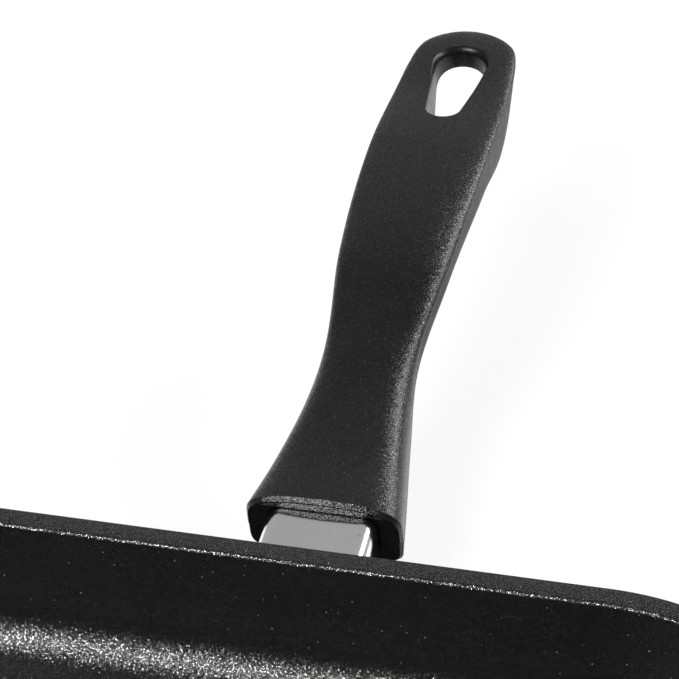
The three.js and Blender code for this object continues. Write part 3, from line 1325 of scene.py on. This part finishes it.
@dataclass
class FlameGuard:
    """Drawn sheet collar between the wall and the handle."""

    mount: HandleMount
    width: float = 28.0
    height: float = 13.2
    corner: float = 3.8
    sheet: float = 0.8
    end: float = 42.8
    hole: float = 6.5
    steps: int = 10
    sharp: float = 40.0

    def build(self, steel: bpy.types.Material) -> bpy.types.Object:
        """Model the guard.

        Args:
            steel: Its finish.

        Returns:
            The piece.
        """
        shape = bmesh.new()
        rounded_face(shape, self.width, self.height, self.corner, self.steps)
        bmesh.ops.rotate(shape, verts=shape.verts, matrix=UPRIGHT)
        bmesh.ops.delete(shape, geom=shape.faces, context="FACES_ONLY")
        near = list(shape.edges)
        for vert in shape.verts:
            vert.co.y = self.mount.wall_at(vert.co.z)
        far = push(shape, near, (0.0, 1.0, 0.0))
        for vert in ends_of(far):
            vert.co.y = self.end
        place = standing_at(self.end)
        made = bmesh.ops.create_circle(shape, segments=len(far), radius=self.hole / 2.0, matrix=place)
        bmesh.ops.bridge_loops(shape, edges=[*far, *edges_at(made["verts"])])
        clean(shape)
        bmesh.ops.transform(shape, matrix=self.mount.matrix(), verts=shape.verts)
        piece = piece_from("flame_guard_satin", shape, [steel])
        wall = piece.modifiers.new("sheet", "SOLIDIFY")
        wall.thickness = self.sheet * MILLIMETRE
        wall.offset = -1.0
        wall.use_even_offset = True
        settle(piece)
        soften(piece, self.sharp)
        stand_for(piece, "flame_guard")
        return piece


class Finish(Enum):
    """The handle's finishes, by their place in its list of materials."""

    TOP = 0
    FLANK = 1
    # A darker copy of the resin that hardly reflects: painted shade
    SOCKET = 2
    HOLE = 3
    FRONT = 4


RESINS = {
    Finish.TOP: MouldedPhenolic(),
    Finish.FLANK: MouldedPhenolic(
        "phenolic_flank", facet=0.0005, facet_lean=0.04, rough=0.45, sparkle_share=0.1, specular=0.25
    ),
    # Painted shade: a darker copy of the resin with almost no reflection, for the front's cheeks and groove
    # and the cut socket and bores
    Finish.SOCKET: MouldedPhenolic(
        "phenolic_painted_shade", 0.004, facet=0.0004, facet_lean=0.1, rough=0.5, sparkle_share=0.0, specular=0.02
    ),
    Finish.HOLE: MouldedPhenolic(
        "phenolic_hole", facet=0.0005, facet_lean=0.04, rough=0.35, sparkle_share=0.1
    ),
    Finish.FRONT: MouldedPhenolic("phenolic_front", facet_lean=0.2, rough=0.36, specular=0.28),
}


@dataclass(frozen=True)
class Station:
    """Form of the handle at one place: its top line, its half width and how its two halves are shaped."""

    at: float
    rise: float
    half: float
    widest: float
    thick: float
    crown: float
    square: float


@dataclass
class Handle:
    """Moulded handle with a guard socket, a screw bore with its open mouth, and a hanging hole."""

    mount: HandleMount
    guard: FlameGuard
    resins: Sequence[bpy.types.Material]
    reach: float = 24.0
    top_wall: float = 3.4
    tail_radius: float = 15.5
    tail_corner: float = 36.0
    front_bevel: float = 0.8
    front_run: float = 1.2
    groove: float = 0.45
    groove_depth: float = 0.0643
    groove_dip: float = 0.25
    bow: float = 2.0
    lean_length: float = 60.0
    parting: float = 0.18
    clearance: float = 0.4
    play: float = 0.2
    lip: float = 0.3
    lip_depth: float = 0.2
    seat_wall: float = 10.0
    bore_overlap: float = 1.0
    bore_steps: int = 40
    head_bore: float = 13.6
    mouth: float = 66.0
    hole_length: float = 34.0
    hole_wide: float = 7.0
    hole_narrow: float = 4.6
    hole_wall: float = 10.6
    hole_depth: float = 26.0
    hole_steps: int = 32
    narrow_steps: int = 22
    side_cuts: int = 9
    flare: float = 1.9
    flare_depth: float = 2.2
    flare_least: float = 0.18
    flare_steps: int = 8
    flare_over: float = 3.0
    flare_open: float = 2.2
    rings: int = 96
    half_ring: int = 40
    tail_steps: int = 36
    sharp: float = 32.0

    stations: ClassVar[tuple[Station, ...]] = (
        Station(0.0, 0.0, 20.1, 11.0, 19.5, 5.2, 6.0),
        Station(18.0, 2.2, 17.0, 13.0, 20.5, 4.8, 5.0),
        Station(37.0, 6.8, 14.0, 12.0, 20.3, 3.8, 4.0),
        Station(54.0, 12.8, 12.3, 5.4, 17.0, 2.4, 3.6),
        Station(80.0, 23.1, 14.9, 4.7, 15.2, 2.1, 3.6),
        Station(120.0, 29.4, 16.3, 2.6, 19.0, 2.0, 4.2),
        Station(152.5, 29.8, 15.6, 2.0, 19.8, 2.0, 4.5),
        Station(163.5, 30.8, 15.0, 2.4, 8.0, 2.2, 3.2),
        Station(179.6, 32.1, 11.8, 2.2, 5.6, 2.4, 3.2),
    )

    @property
    def length(self) -> float:
        """Give the handle's length."""
        return self.stations[-1].at

    @property
    def seat(self) -> float:
        """Give the place along the mount's axis where the washers are seated."""
        return self.guard.end + self.mount.gap + self.seat_wall

    def smooth(self, field: str, place: float) -> float:
        """Read one field on a smooth curve through the stations.

        Args:
            field: The field's name.
            place: Length from the front.

        Returns:
            The field's value there.
        """
        spots = [station.at for station in self.stations]
        values = [getattr(station, field) for station in self.stations]
        place = min(max(place, 0.0), self.length)
        last = len(spots) - 1
        after = next((i for i in range(1, last) if place < spots[i]), last)
        before = after - 1
        previous = before - 1 if before > 0 else after
        following = after + 1 if after < last else before
        half = (spots[after] - spots[before]) / 2.0
        low = half / (spots[before] - spots[previous])
        high = half / (spots[following] - spots[after])
        p = (place - spots[before]) / (spots[after] - spots[before])
        cube = p * p * p
        square = p * p
        return (
            (-low * cube + 2.0 * low * square - low * p) * values[previous]
            + ((1.0 + low) * cube + (-1.5 - 2.0 * low) * square + (low - 0.5) * p + 1.0) * values[before]
            + ((-1.0 - high) * cube + (1.5 + high) * square + 0.5 * p) * values[after]
            + (high * cube - high * square) * values[following]
        )

    def origin(self) -> Vector:
        """Find the top of the handle's front.

        Returns:
            The point that the stations are measured from.
        """
        pan = self.mount.pan
        place = self.mount.matrix()
        front = pan.width / 2.0 + self.reach
        lean = math.radians(self.mount.pitch)
        along = (front - place.translation.y) / math.cos(lean)
        top = place.translation.z + along * math.sin(lean) + self.guard.height / 2.0 / math.cos(lean)
        return Vector((0.0, front, top + self.clearance + self.top_wall))

    def section_point(self, index: int, place: float, inset: float) -> Vector:
        """Give one point of a section: a bowed half over a boxier half, with a step where the mould parts.

        Args:
            index: The point's number, counted round from the right-hand parting line.
            place: Length from the front.
            inset: How far the section is drawn in.

        Returns:
            The point, from the handle's origin.
        """
        upper = index <= self.half_ring
        step = index if upper else index - 1
        angle = math.pi * step / self.half_ring
        power = self.smooth("crown" if upper else "square", place)
        widest = self.smooth("widest", place)
        arch = widest if upper else self.smooth("thick", place) - widest
        width = self.smooth("half", place) - inset - (0.0 if upper else self.parting)
        across = math.copysign(abs(math.cos(angle)) ** (2.0 / power), math.cos(angle))
        up = math.copysign(abs(math.sin(angle)) ** (2.0 / power), math.sin(angle))
        if step in (0, self.half_ring, 2 * self.half_ring):
            up = 0.0
        fade = max(0.0, 1.0 - place / self.lean_length)
        bow = self.bow * fade * across * across if upper else 0.0
        depth = widest - (arch - inset - bow) * up
        lean = math.tan(math.radians(self.mount.pitch)) * fade
        return Vector((width * across, place + depth * lean, self.smooth("rise", place) - depth))

    def tail_centre(self) -> float:
        """Give the place from which the tail is turned round."""
        return self.length - self.tail_radius

    def tail_reach(self, angle: float) -> float:
        """Measure from the tail's centre to its outline: tapering sides, soft corners and an end arc.

        Args:
            angle: Direction, 0 to the side and a right angle to the tip.

        Returns:
            The distance.
        """
        centre = self.tail_centre()

        def inside(reach: float) -> bool:
            """Tell whether a reach still ends between the handle's sides."""
            return reach * math.cos(angle) < self.smooth("half", centre + reach * math.sin(angle))

        side = edge_of(inside, 0.0, 2.0 * self.tail_radius)
        sharp = self.tail_corner
        return (side ** -sharp + self.tail_radius ** -sharp) ** (-1.0 / sharp)

    def round_tail(self, shape: Shape, ring: Sequence[Vert]) -> None:
        """Turn the right half of the last section round to the left and let it follow the top line.

        Args:
            shape: The mesh to work in.
            ring: The last section's vertices, in order.
        """
        centre = self.tail_centre()
        kept = {vert for vert in ring if vert.co.x > -NEAR}
        edges = [edge for edge in shape.edges if all(vert in kept for vert in edge.verts)]
        known = set(shape.verts)
        spin(shape, [*ends_of(edges), *edges], (0.0, centre, 0.0), Axis.Z, math.pi, self.tail_steps)
        width = self.smooth("half", centre)
        top = self.smooth("rise", centre)
        thick = self.smooth("thick", centre)
        fade = self.tail_reach(0.0) / width
        for vert in shape.verts:
            if vert in known:
                continue
            share = math.hypot(vert.co.x, vert.co.y - centre) / width
            angle = math.atan2(vert.co.y - centre, abs(vert.co.x))
            reach = share * self.tail_reach(angle) / (fade + (1.0 - fade) * ease(angle))
            vert.co.x = math.copysign(reach * math.cos(angle), vert.co.x)
            vert.co.y = centre + reach * math.sin(angle)
            scale = self.smooth("thick", vert.co.y) / thick
            vert.co.z = self.smooth("rise", vert.co.y) - (top - vert.co.z) * scale

    def skin(self) -> Shape:
        """Loft the handle's outside.

        Returns:
            A closed mesh.
        """
        shape = bmesh.new()
        count = 2 * self.half_ring + 2
        ring = list(bmesh.ops.create_circle(shape, segments=count, radius=self.stations[0].half)["verts"])
        first = list(shape.edges)
        run = self.tail_centre() - self.front_run
        places = [(self.groove_depth, self.front_bevel + self.groove), (0.0, self.front_bevel)]
        places += [(self.front_run + run * k / self.rings, 0.0) for k in range(self.rings + 1)]
        edges = first
        for number, (place, inset) in enumerate(places):
            if number:
                edges, following = grow_ring(shape, edges)
                ring = [following[vert] for vert in ring]
            for index, vert in enumerate(ring):
                vert.co = self.section_point(index, place, inset)
        front = bmesh.ops.contextual_create(shape, geom=first)["faces"]
        # Below this cut the front's cheeks take the painted shade
        split_faces(shape, front, (0.0, 0.0, -self.top_wall), Axis.Z)
        self.round_tail(shape, ring)
        clean(shape, NEAR)
        for face in shape.faces:
            face.material_index = self.finish_at(face.calc_center_median(), face.normal)
        bmesh.ops.translate(shape, verts=shape.verts, vec=self.origin())
        return shape

    def finish_at(self, middle: Vector, way: Vector) -> int:
        """Choose the finish of a face: painted shade on the front's cheeks and groove, its brow, a flank or
        the top.

        Args:
            middle: The face's middle, from the handle's origin.
            way: Which way the face looks.

        Returns:
            The number of the finish.
        """
        depth = self.smooth("rise", middle.y) - middle.z
        # Faces low on the front, or facing down in the groove, take the painted shade
        if way.y < -FACING and (depth > self.top_wall or way.z < -self.groove_dip):
            return Finish.SOCKET.value
        if way.y < -FACING and way.z < 0.0:
            return Finish.FRONT.value
        return Finish.FLANK.value if depth > self.smooth("widest", middle.y) else Finish.TOP.value

    def tool_from(self, name: str, shape: Shape, finish: Finish) -> bpy.types.Object:
        """Make a cutting tool whose cut faces take one of the handle's finishes.

        Args:
            name: The tool's name.
            shape: Its mesh, which is used up.
            finish: The finish of the cut.

        Returns:
            The tool.
        """
        for face in shape.faces:
            face.material_index = finish.value
        return piece_from(name, shape, self.resins)

    def hole_tool(self) -> bpy.types.Object:
        """Model the space of the hanging hole: two round ends, with a rounded mouth that leans to the tail.

        Returns:
            The space, as an object.
        """
        shape = bmesh.new()
        tail = self.length - self.hole_wall - self.hole_wide
        near = self.length - self.hole_wall - self.hole_length + self.hole_narrow
        lean = math.degrees(math.asin((self.hole_wide - self.hole_narrow) / (tail - near)))
        turned = math.radians(lean)
        start = (self.hole_wide * math.cos(turned), tail - self.hole_wide * math.sin(turned), 0.0)
        pen = Pen(shape, start)
        pen.turn((0.0, tail, 0.0), Axis.Z, 180.0 + 2.0 * lean, self.hole_steps)
        pen.line((-self.hole_narrow * math.cos(turned), near - self.hole_narrow * math.sin(turned), 0.0))
        pen.turn((0.0, near, 0.0), Axis.Z, 180.0 - 2.0 * lean, self.narrow_steps)
        pen.line(start)
        bmesh.ops.remove_doubles(shape, verts=shape.verts, dist=NEAR)
        sides = [edge for edge in shape.edges if edge.calc_length() > self.hole_narrow]
        bmesh.ops.subdivide_edges(shape, edges=sides, cuts=self.side_cuts)
        levels = [(self.hole_depth, 0.0)]
        for k in range(self.flare_steps + 1):
            angle = math.pi / 2.0 * k / self.flare_steps
            levels.append((self.flare_depth * (1.0 - math.sin(angle)), 1.0 - math.cos(angle)))
        levels.append((-self.flare_over, self.flare_open))
        edges = list(shape.edges)
        bottom = edges
        spot = {vert: vert.co.copy() for vert in shape.verts}
        for number, (depth, grow) in enumerate(levels):
            if number:
                edges, following = grow_ring(shape, edges)
                spot = {following[vert]: own for vert, own in spot.items()}
            for vert, own in spot.items():
                centre = Vector((0.0, min(max(own.y, near), tail), 0.0))
                outward = (own - centre).normalized()
                towards = ease((own.y - near + self.hole_narrow) / self.hole_length)
                share = self.flare_least + (1.0 - self.flare_least) * towards
                place = own + outward * self.flare * share * grow
                vert.co = Vector((place.x, place.y, self.smooth("rise", place.y) - depth))
        bmesh.ops.contextual_create(shape, geom=bottom)
        bmesh.ops.contextual_create(shape, geom=edges)
        clean(shape, NEAR)
        bmesh.ops.translate(shape, verts=shape.verts, vec=self.origin())
        return self.tool_from("hanging_hole_space", shape, Finish.HOLE)

    def slot_tool(
        self, name: str, crest: Finish, width: float, height: float, corner: float, end: float
    ) -> bpy.types.Object:
        """Model a rounded slot on the mount's axis, in painted shade but for the top of its end.

        Args:
            name: The tool's name.
            crest: The finish that the end of the cut has along its top.
            width: Its width.
            height: Its height.
            corner: Radius of its corners.
            end: How far along the axis it goes.

        Returns:
            The space, as an object.
        """
        shape = bmesh.new()
        rounded_face(shape, width, height, corner, self.guard.steps)
        bmesh.ops.rotate(shape, verts=shape.verts, matrix=UPRIGHT)
        thicken(shape, (0.0, end, 0.0))
        clean(shape)
        level = height / 2.0 - self.lip
        cap = [face for face in shape.faces if face.normal.y > FACING]
        split_faces(shape, cap, (0.0, 0.0, level), Axis.Z)
        for face in shape.faces:
            high = face.normal.y > FACING and face.calc_center_median().z > level
            face.material_index = crest.value if high else Finish.SOCKET.value
        bmesh.ops.transform(shape, matrix=self.mount.matrix(), verts=shape.verts)
        return piece_from(name, shape, self.resins)

    def bore_tool(self, name: str, diameter: float, start: float, end: float) -> bpy.types.Object:
        """Model a round bore on the mount's axis.

        Args:
            name: The tool's name.
            diameter: Its diameter.
            start: Where it starts along the axis.
            end: Where it ends.

        Returns:
            The space, as an object.
        """
        shape = bmesh.new()
        place = standing_at(start)
        bmesh.ops.create_circle(
            shape, cap_ends=True, segments=self.bore_steps, radius=diameter / 2.0, matrix=place
        )
        thicken(shape, (0.0, end - start, 0.0))
        clean(shape)
        bmesh.ops.transform(shape, matrix=self.mount.matrix(), verts=shape.verts)
        # The bore's walls take the painted shade
        return self.tool_from(name, shape, Finish.SOCKET)

    def build(self) -> bpy.types.Object:
        """Model the handle.

        Returns:
            The piece.
        """
        piece = piece_from("handle_moulded", self.skin(), self.resins)
        guard = self.guard
        width = guard.width + 2.0 * self.play
        height = guard.height + 2.0 * self.play
        corner = guard.corner + self.play
        end = guard.end + self.mount.gap
        front = (self.mount.matrix().inverted() @ self.origin()).y
        over = self.bore_overlap
        tools = [
            self.hole_tool(),
            self.slot_tool("socket_space", Finish.SOCKET, width, height, corner, end),
            self.slot_tool(
                "lip_space",
                Finish.FRONT,
                width + 2.0 * self.lip,
                height + 2.0 * self.lip,
                corner + self.lip,
                front + self.lip_depth,
            ),
            self.bore_tool("bore_space", guard.hole, guard.end - over, self.seat + over),
            self.bore_tool("mouth_space", self.head_bore, self.seat, self.seat + self.mouth),
        ]
        carve(piece, tools)
        soften(piece, self.sharp)
        stand_for(piece, "handle")
        return piece


@dataclass
class Fasteners:
    """The long screw with its flat and its split washer, all on the mount's axis."""

    mount: HandleMount
    seat: float
    diameter: float = 6.0
    tip: float = 3.5
    point: float = 0.7
    head_diameter: float = 10.5
    head_height: float = 4.5
    head_edge: float = 0.2
    dome_radius: float = 2.0
    dome_turn: float = 70.0
    dome_steps: int = 7
    drive_width: float = 1.4
    drive_length: float = 6.4
    drive_depth: float = 2.2
    drive_taper: float = 0.45
    drive_thinning: float = 0.8
    washer_bore: float = 6.5
    washer_edge: float = 0.15
    edge_steps: int = 2
    flat_diameter: float = 12.5
    flat_thickness: float = 1.2
    split_diameter: float = 11.0
    split_thickness: float = 1.6
    split_start: float = -84.0
    split_turn: float = 348.0
    split_rise: float = 0.12
    steps: int = 48
    sharp: float = 35.0

    @property
    def flat_at(self) -> float:
        """Give the place of the flat washer."""
        return self.seat + self.mount.gap

    @property
    def split_at(self) -> float:
        """Give the place of the split washer."""
        return self.flat_at + self.flat_thickness + self.mount.gap

    @property
    def head_at(self) -> float:
        """Give the place of the underside of the screw's head."""
        return self.split_at + self.split_thickness + self.mount.gap

    def turned(self, shape: Shape, edges: Sequence[Edge]) -> None:
        """Turn a section all round the axis."""
        spin(shape, [*ends_of(edges), *edges], (0.0, 0.0, 0.0), Axis.Y, 2.0 * math.pi, self.steps)

    def place(self, name: str, shape: Shape, finish: bpy.types.Material) -> bpy.types.Object:
        """Set a turned mesh on the mount's axis.

        Args:
            name: The piece's name.
            shape: The mesh, round the Y axis.
            finish: Its finish.

        Returns:
            The piece.
        """
        clean(shape)
        bmesh.ops.transform(shape, matrix=self.mount.matrix(), verts=shape.verts)
        return piece_from(name, shape, [finish])

    def screw(self, zinc: bpy.types.Material) -> bpy.types.Object:
        """Turn the screw and press the cross into its head.

        Args:
            zinc: Its finish.

        Returns:
            The piece.
        """
        shape = bmesh.new()
        radius = self.diameter / 2.0
        head = self.head_diameter / 2.0
        under = self.head_at
        side = under + self.head_height / 2.0
        top = under + self.head_height
        pen = Pen(shape, (0.0, self.tip, 0.0))
        pen.line((radius - self.point, self.tip, 0.0)).line((radius, self.tip + self.point, 0.0))
        pen.line((radius, under, 0.0)).line((head - self.head_edge, under, 0.0))
        pen.line((head, under + self.head_edge, 0.0)).line((head, side, 0.0))
        pen.turn((head - self.dome_radius, side, 0.0), Axis.Z, self.dome_turn, self.dome_steps)
        pen.line((0.0, top, 0.0))
        self.turned(shape, pen.edges())
        piece = self.place("handle_screw_zinc", shape, zinc)
        tools = []
        for number in range(2):
            cross = bmesh.new()
            bmesh.ops.create_cube(cross, size=1.0)
            size = (self.drive_length, 2.0 * self.drive_depth, self.drive_width)
            bmesh.ops.scale(cross, verts=cross.verts, vec=size)
            for vert in cross.verts:
                if vert.co.y < 0.0:
                    vert.co.x *= self.drive_taper
                    vert.co.z *= self.drive_thinning
            quarter = Matrix.Rotation(math.pi / 2.0 * number, 3, "Y")
            bmesh.ops.rotate(cross, verts=cross.verts, matrix=quarter)
            bmesh.ops.translate(cross, verts=cross.verts, vec=(0.0, top, 0.0))
            bmesh.ops.transform(cross, matrix=self.mount.matrix(), verts=cross.verts)
            tools.append(piece_from(f"cross_space_{number}", cross, []))
        carve(piece, tools)
        soften(piece, self.sharp)
        stand_for(piece, "handle_screw")
        return piece

    def washer_face(self, shape: Shape, diameter: float, thickness: float, start: float) -> Face:
        """Draw a washer's section.

        Args:
            shape: The mesh to draw in.
            diameter: Outside diameter.
            thickness: Thickness along the axis.
            start: Where it starts along the axis.

        Returns:
            The section.
        """
        inner = self.washer_bore / 2.0
        outer = diameter / 2.0
        face = rounded_face(shape, outer - inner, thickness, self.washer_edge, self.edge_steps)
        middle = ((inner + outer) / 2.0, start + thickness / 2.0, 0.0)
        bmesh.ops.translate(shape, verts=shape.verts, vec=middle)
        return face

    def washers(self, zinc: bpy.types.Material) -> list[bpy.types.Object]:
        """Turn both washers, the split one on a slight helix with a slit.

        Args:
            zinc: Their finish.

        Returns:
            The pieces.
        """
        flat = bmesh.new()
        face = self.washer_face(flat, self.flat_diameter, self.flat_thickness, self.flat_at)
        edges = list(face.edges)
        bmesh.ops.delete(flat, geom=[face], context="FACES_ONLY")
        self.turned(flat, edges)
        split = bmesh.new()
        face = self.washer_face(split, self.split_diameter, self.split_thickness, self.split_at)
        start = Matrix.Rotation(math.radians(self.split_start), 3, "Y")
        bmesh.ops.rotate(split, verts=split.verts, matrix=start)
        # The copy stays behind and closes the slit's near side
        section = parts_of([face])
        bmesh.ops.duplicate(split, geom=section)
        rise = (0.0, self.split_rise / self.steps, 0.0)
        turn = math.radians(self.split_turn)
        spin(split, section, (0.0, 0.0, 0.0), Axis.Y, turn, self.steps, rise)
        pieces = []
        for node, shape in (("flat_washer", flat), ("spring_washer", split)):
            piece = self.place(f"{node}_zinc", shape, zinc)
            soften(piece, self.sharp)
            stand_for(piece, node)
            pieces.append(piece)
        return pieces


@dataclass(frozen=True)
class Softbox:
    """One soft lamp, placed by the way to it from the object."""

    name: str
    way: tuple[float, float, float]
    distance: float
    width: float
    depth: float
    power: float

    def build(self, target: Vector) -> bpy.types.Object:
        """Hang the lamp.

        Args:
            target: What it points at.

        Returns:
            The lamp.
        """
        lamp = bpy.data.lights.new(self.name, "AREA")
        lamp.shape = "RECTANGLE"
        lamp.size = self.width
        lamp.size_y = self.depth
        lamp.energy = self.power
        holder = bpy.data.objects.new(self.name, lamp)
        bpy.context.scene.collection.objects.link(holder)
        way = Vector(self.way).normalized()
        holder.location = target + way * self.distance
        holder.rotation_mode = "QUATERNION"
        holder.rotation_quaternion = way.to_track_quat("Z", "Y")
        return holder


@dataclass
class Studio:
    """Pale floor, soft light from above and around, and the camera."""

    floor_radius: float = 6.0
    floor_drop: float = 0.00005
    floor_steps: int = 96
    target: tuple[float, float, float] = (0.0, 0.1, 0.03)
    camera_place: tuple[float, float, float] = (0.17778, -0.46228, 0.54113)
    azimuth: float = 15.305
    elevation: float = 35.234
    roll: float = -2.219
    lens: float = 178.79
    sensor: float = 36.0
    nearest: float = 0.01
    furthest: float = 50.0
    far_light: float = 0.5
    near_light: float = 0.1
    fade_near: float = -0.2
    fade_far: float = 0.7

    softboxes: ClassVar[tuple[Softbox, ...]] = (
        Softbox("key_softbox", (-0.35, -0.55, 0.76), 1.25, 0.5, 0.4, 12.0),
        Softbox("back_softbox", (0.657, 0.551, 0.515), 1.4, 1.4, 0.4, 13.0),
    )

    def floor(self) -> bpy.types.Object:
        """Lay the floor.

        Returns:
            The floor.
        """
        shape = bmesh.new()
        radius = self.floor_radius / MILLIMETRE
        bmesh.ops.create_circle(shape, cap_ends=True, segments=self.floor_steps, radius=radius)
        bmesh.ops.translate(shape, verts=shape.verts, vec=(0.0, 0.0, -self.floor_drop / MILLIMETRE))
        piece = piece_from("studio_floor", shape, [StudioFloor().build()])
        return piece

    def sky(self) -> None:
        """Light the scene from all round, brighter from behind the object than from the camera's side."""
        world = bpy.data.worlds.new("studio_light")
        bpy.context.scene.world = world
        world.use_nodes = True
        tree = world.node_tree
        tree.nodes.clear()
        output = tree.nodes.new("ShaderNodeOutputWorld")
        light = tree.nodes.new("ShaderNodeBackground")
        place = tree.nodes.new("ShaderNodeTexCoord")
        split = tree.nodes.new("ShaderNodeSeparateXYZ")
        fade = tree.nodes.new("ShaderNodeMapRange")
        fade.interpolation_type = "SMOOTHSTEP"
        fade.inputs["From Min"].default_value = self.fade_near
        fade.inputs["From Max"].default_value = self.fade_far
        fade.inputs["To Min"].default_value = self.near_light
        fade.inputs["To Max"].default_value = self.far_light
        tree.links.new(place.outputs["Generated"], split.inputs["Vector"])
        tree.links.new(split.outputs["Y"], fade.inputs["Value"])
        tree.links.new(fade.outputs["Result"], light.inputs["Strength"])
        tree.links.new(light.outputs["Background"], output.inputs["Surface"])

    def camera(self) -> bpy.types.Object:
        """Set up the camera.

        Returns:
            The camera.
        """
        turn = math.radians(self.azimuth)
        tilt = math.radians(self.elevation)
        lean = math.radians(self.roll)
        back = Vector((math.sin(turn) * math.cos(tilt), -math.cos(turn) * math.cos(tilt), math.sin(tilt)))
        right = Vector((math.cos(turn), math.sin(turn), 0.0))
        up = back.cross(right)
        side = right * math.cos(lean) + up * math.sin(lean)
        above = up * math.cos(lean) - right * math.sin(lean)
        lens = bpy.data.cameras.new("camera")
        lens.lens = self.lens
        lens.sensor_width = self.sensor
        lens.sensor_fit = "AUTO"
        lens.clip_start = self.nearest
        lens.clip_end = self.furthest
        holder = bpy.data.objects.new("camera", lens)
        bpy.context.scene.collection.objects.link(holder)
        frame = Matrix((side, above, back)).transposed().to_4x4()
        holder.matrix_world = Matrix.Translation(Vector(self.camera_place)) @ frame
        bpy.context.scene.camera = holder
        return holder

    def build(self) -> None:
        """Set up floor, light and camera."""
        self.floor()
        self.sky()
        for box in self.softboxes:
            box.build(Vector(self.target))
        self.camera()
        bpy.context.scene.view_settings.view_transform = "Standard"


def main() -> None:
    """Build every piece in order, then the studio."""
    logging.basicConfig(level=logging.INFO, format="%(name)s %(message)s")
    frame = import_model()
    aluminium = BareAluminium().build()
    zinc = ZincPlating().build()
    plate = BasePlate()
    pan = PanBody(plate)
    pan.build(NonstickCoating().build(), aluminium)
    plate.build(TurnedPlate().build())
    mount = HandleMount(pan)
    guard = FlameGuard(mount)
    guard.build(SatinSteel().build())
    handle = Handle(mount, guard, [resin.build() for resin in RESINS.values()])
    handle.build()
    fasteners = Fasteners(mount, handle.seat)
    fasteners.screw(zinc)
    fasteners.washers(zinc)
    stud = frame["nodes"]["handle_stud"]
    stud.data.materials.clear()
    stud.data.materials.append(aluminium)
    log.info("handle_stud: kept, with bare aluminium")
    Studio().build()


if __name__ == "__main__":
    main()
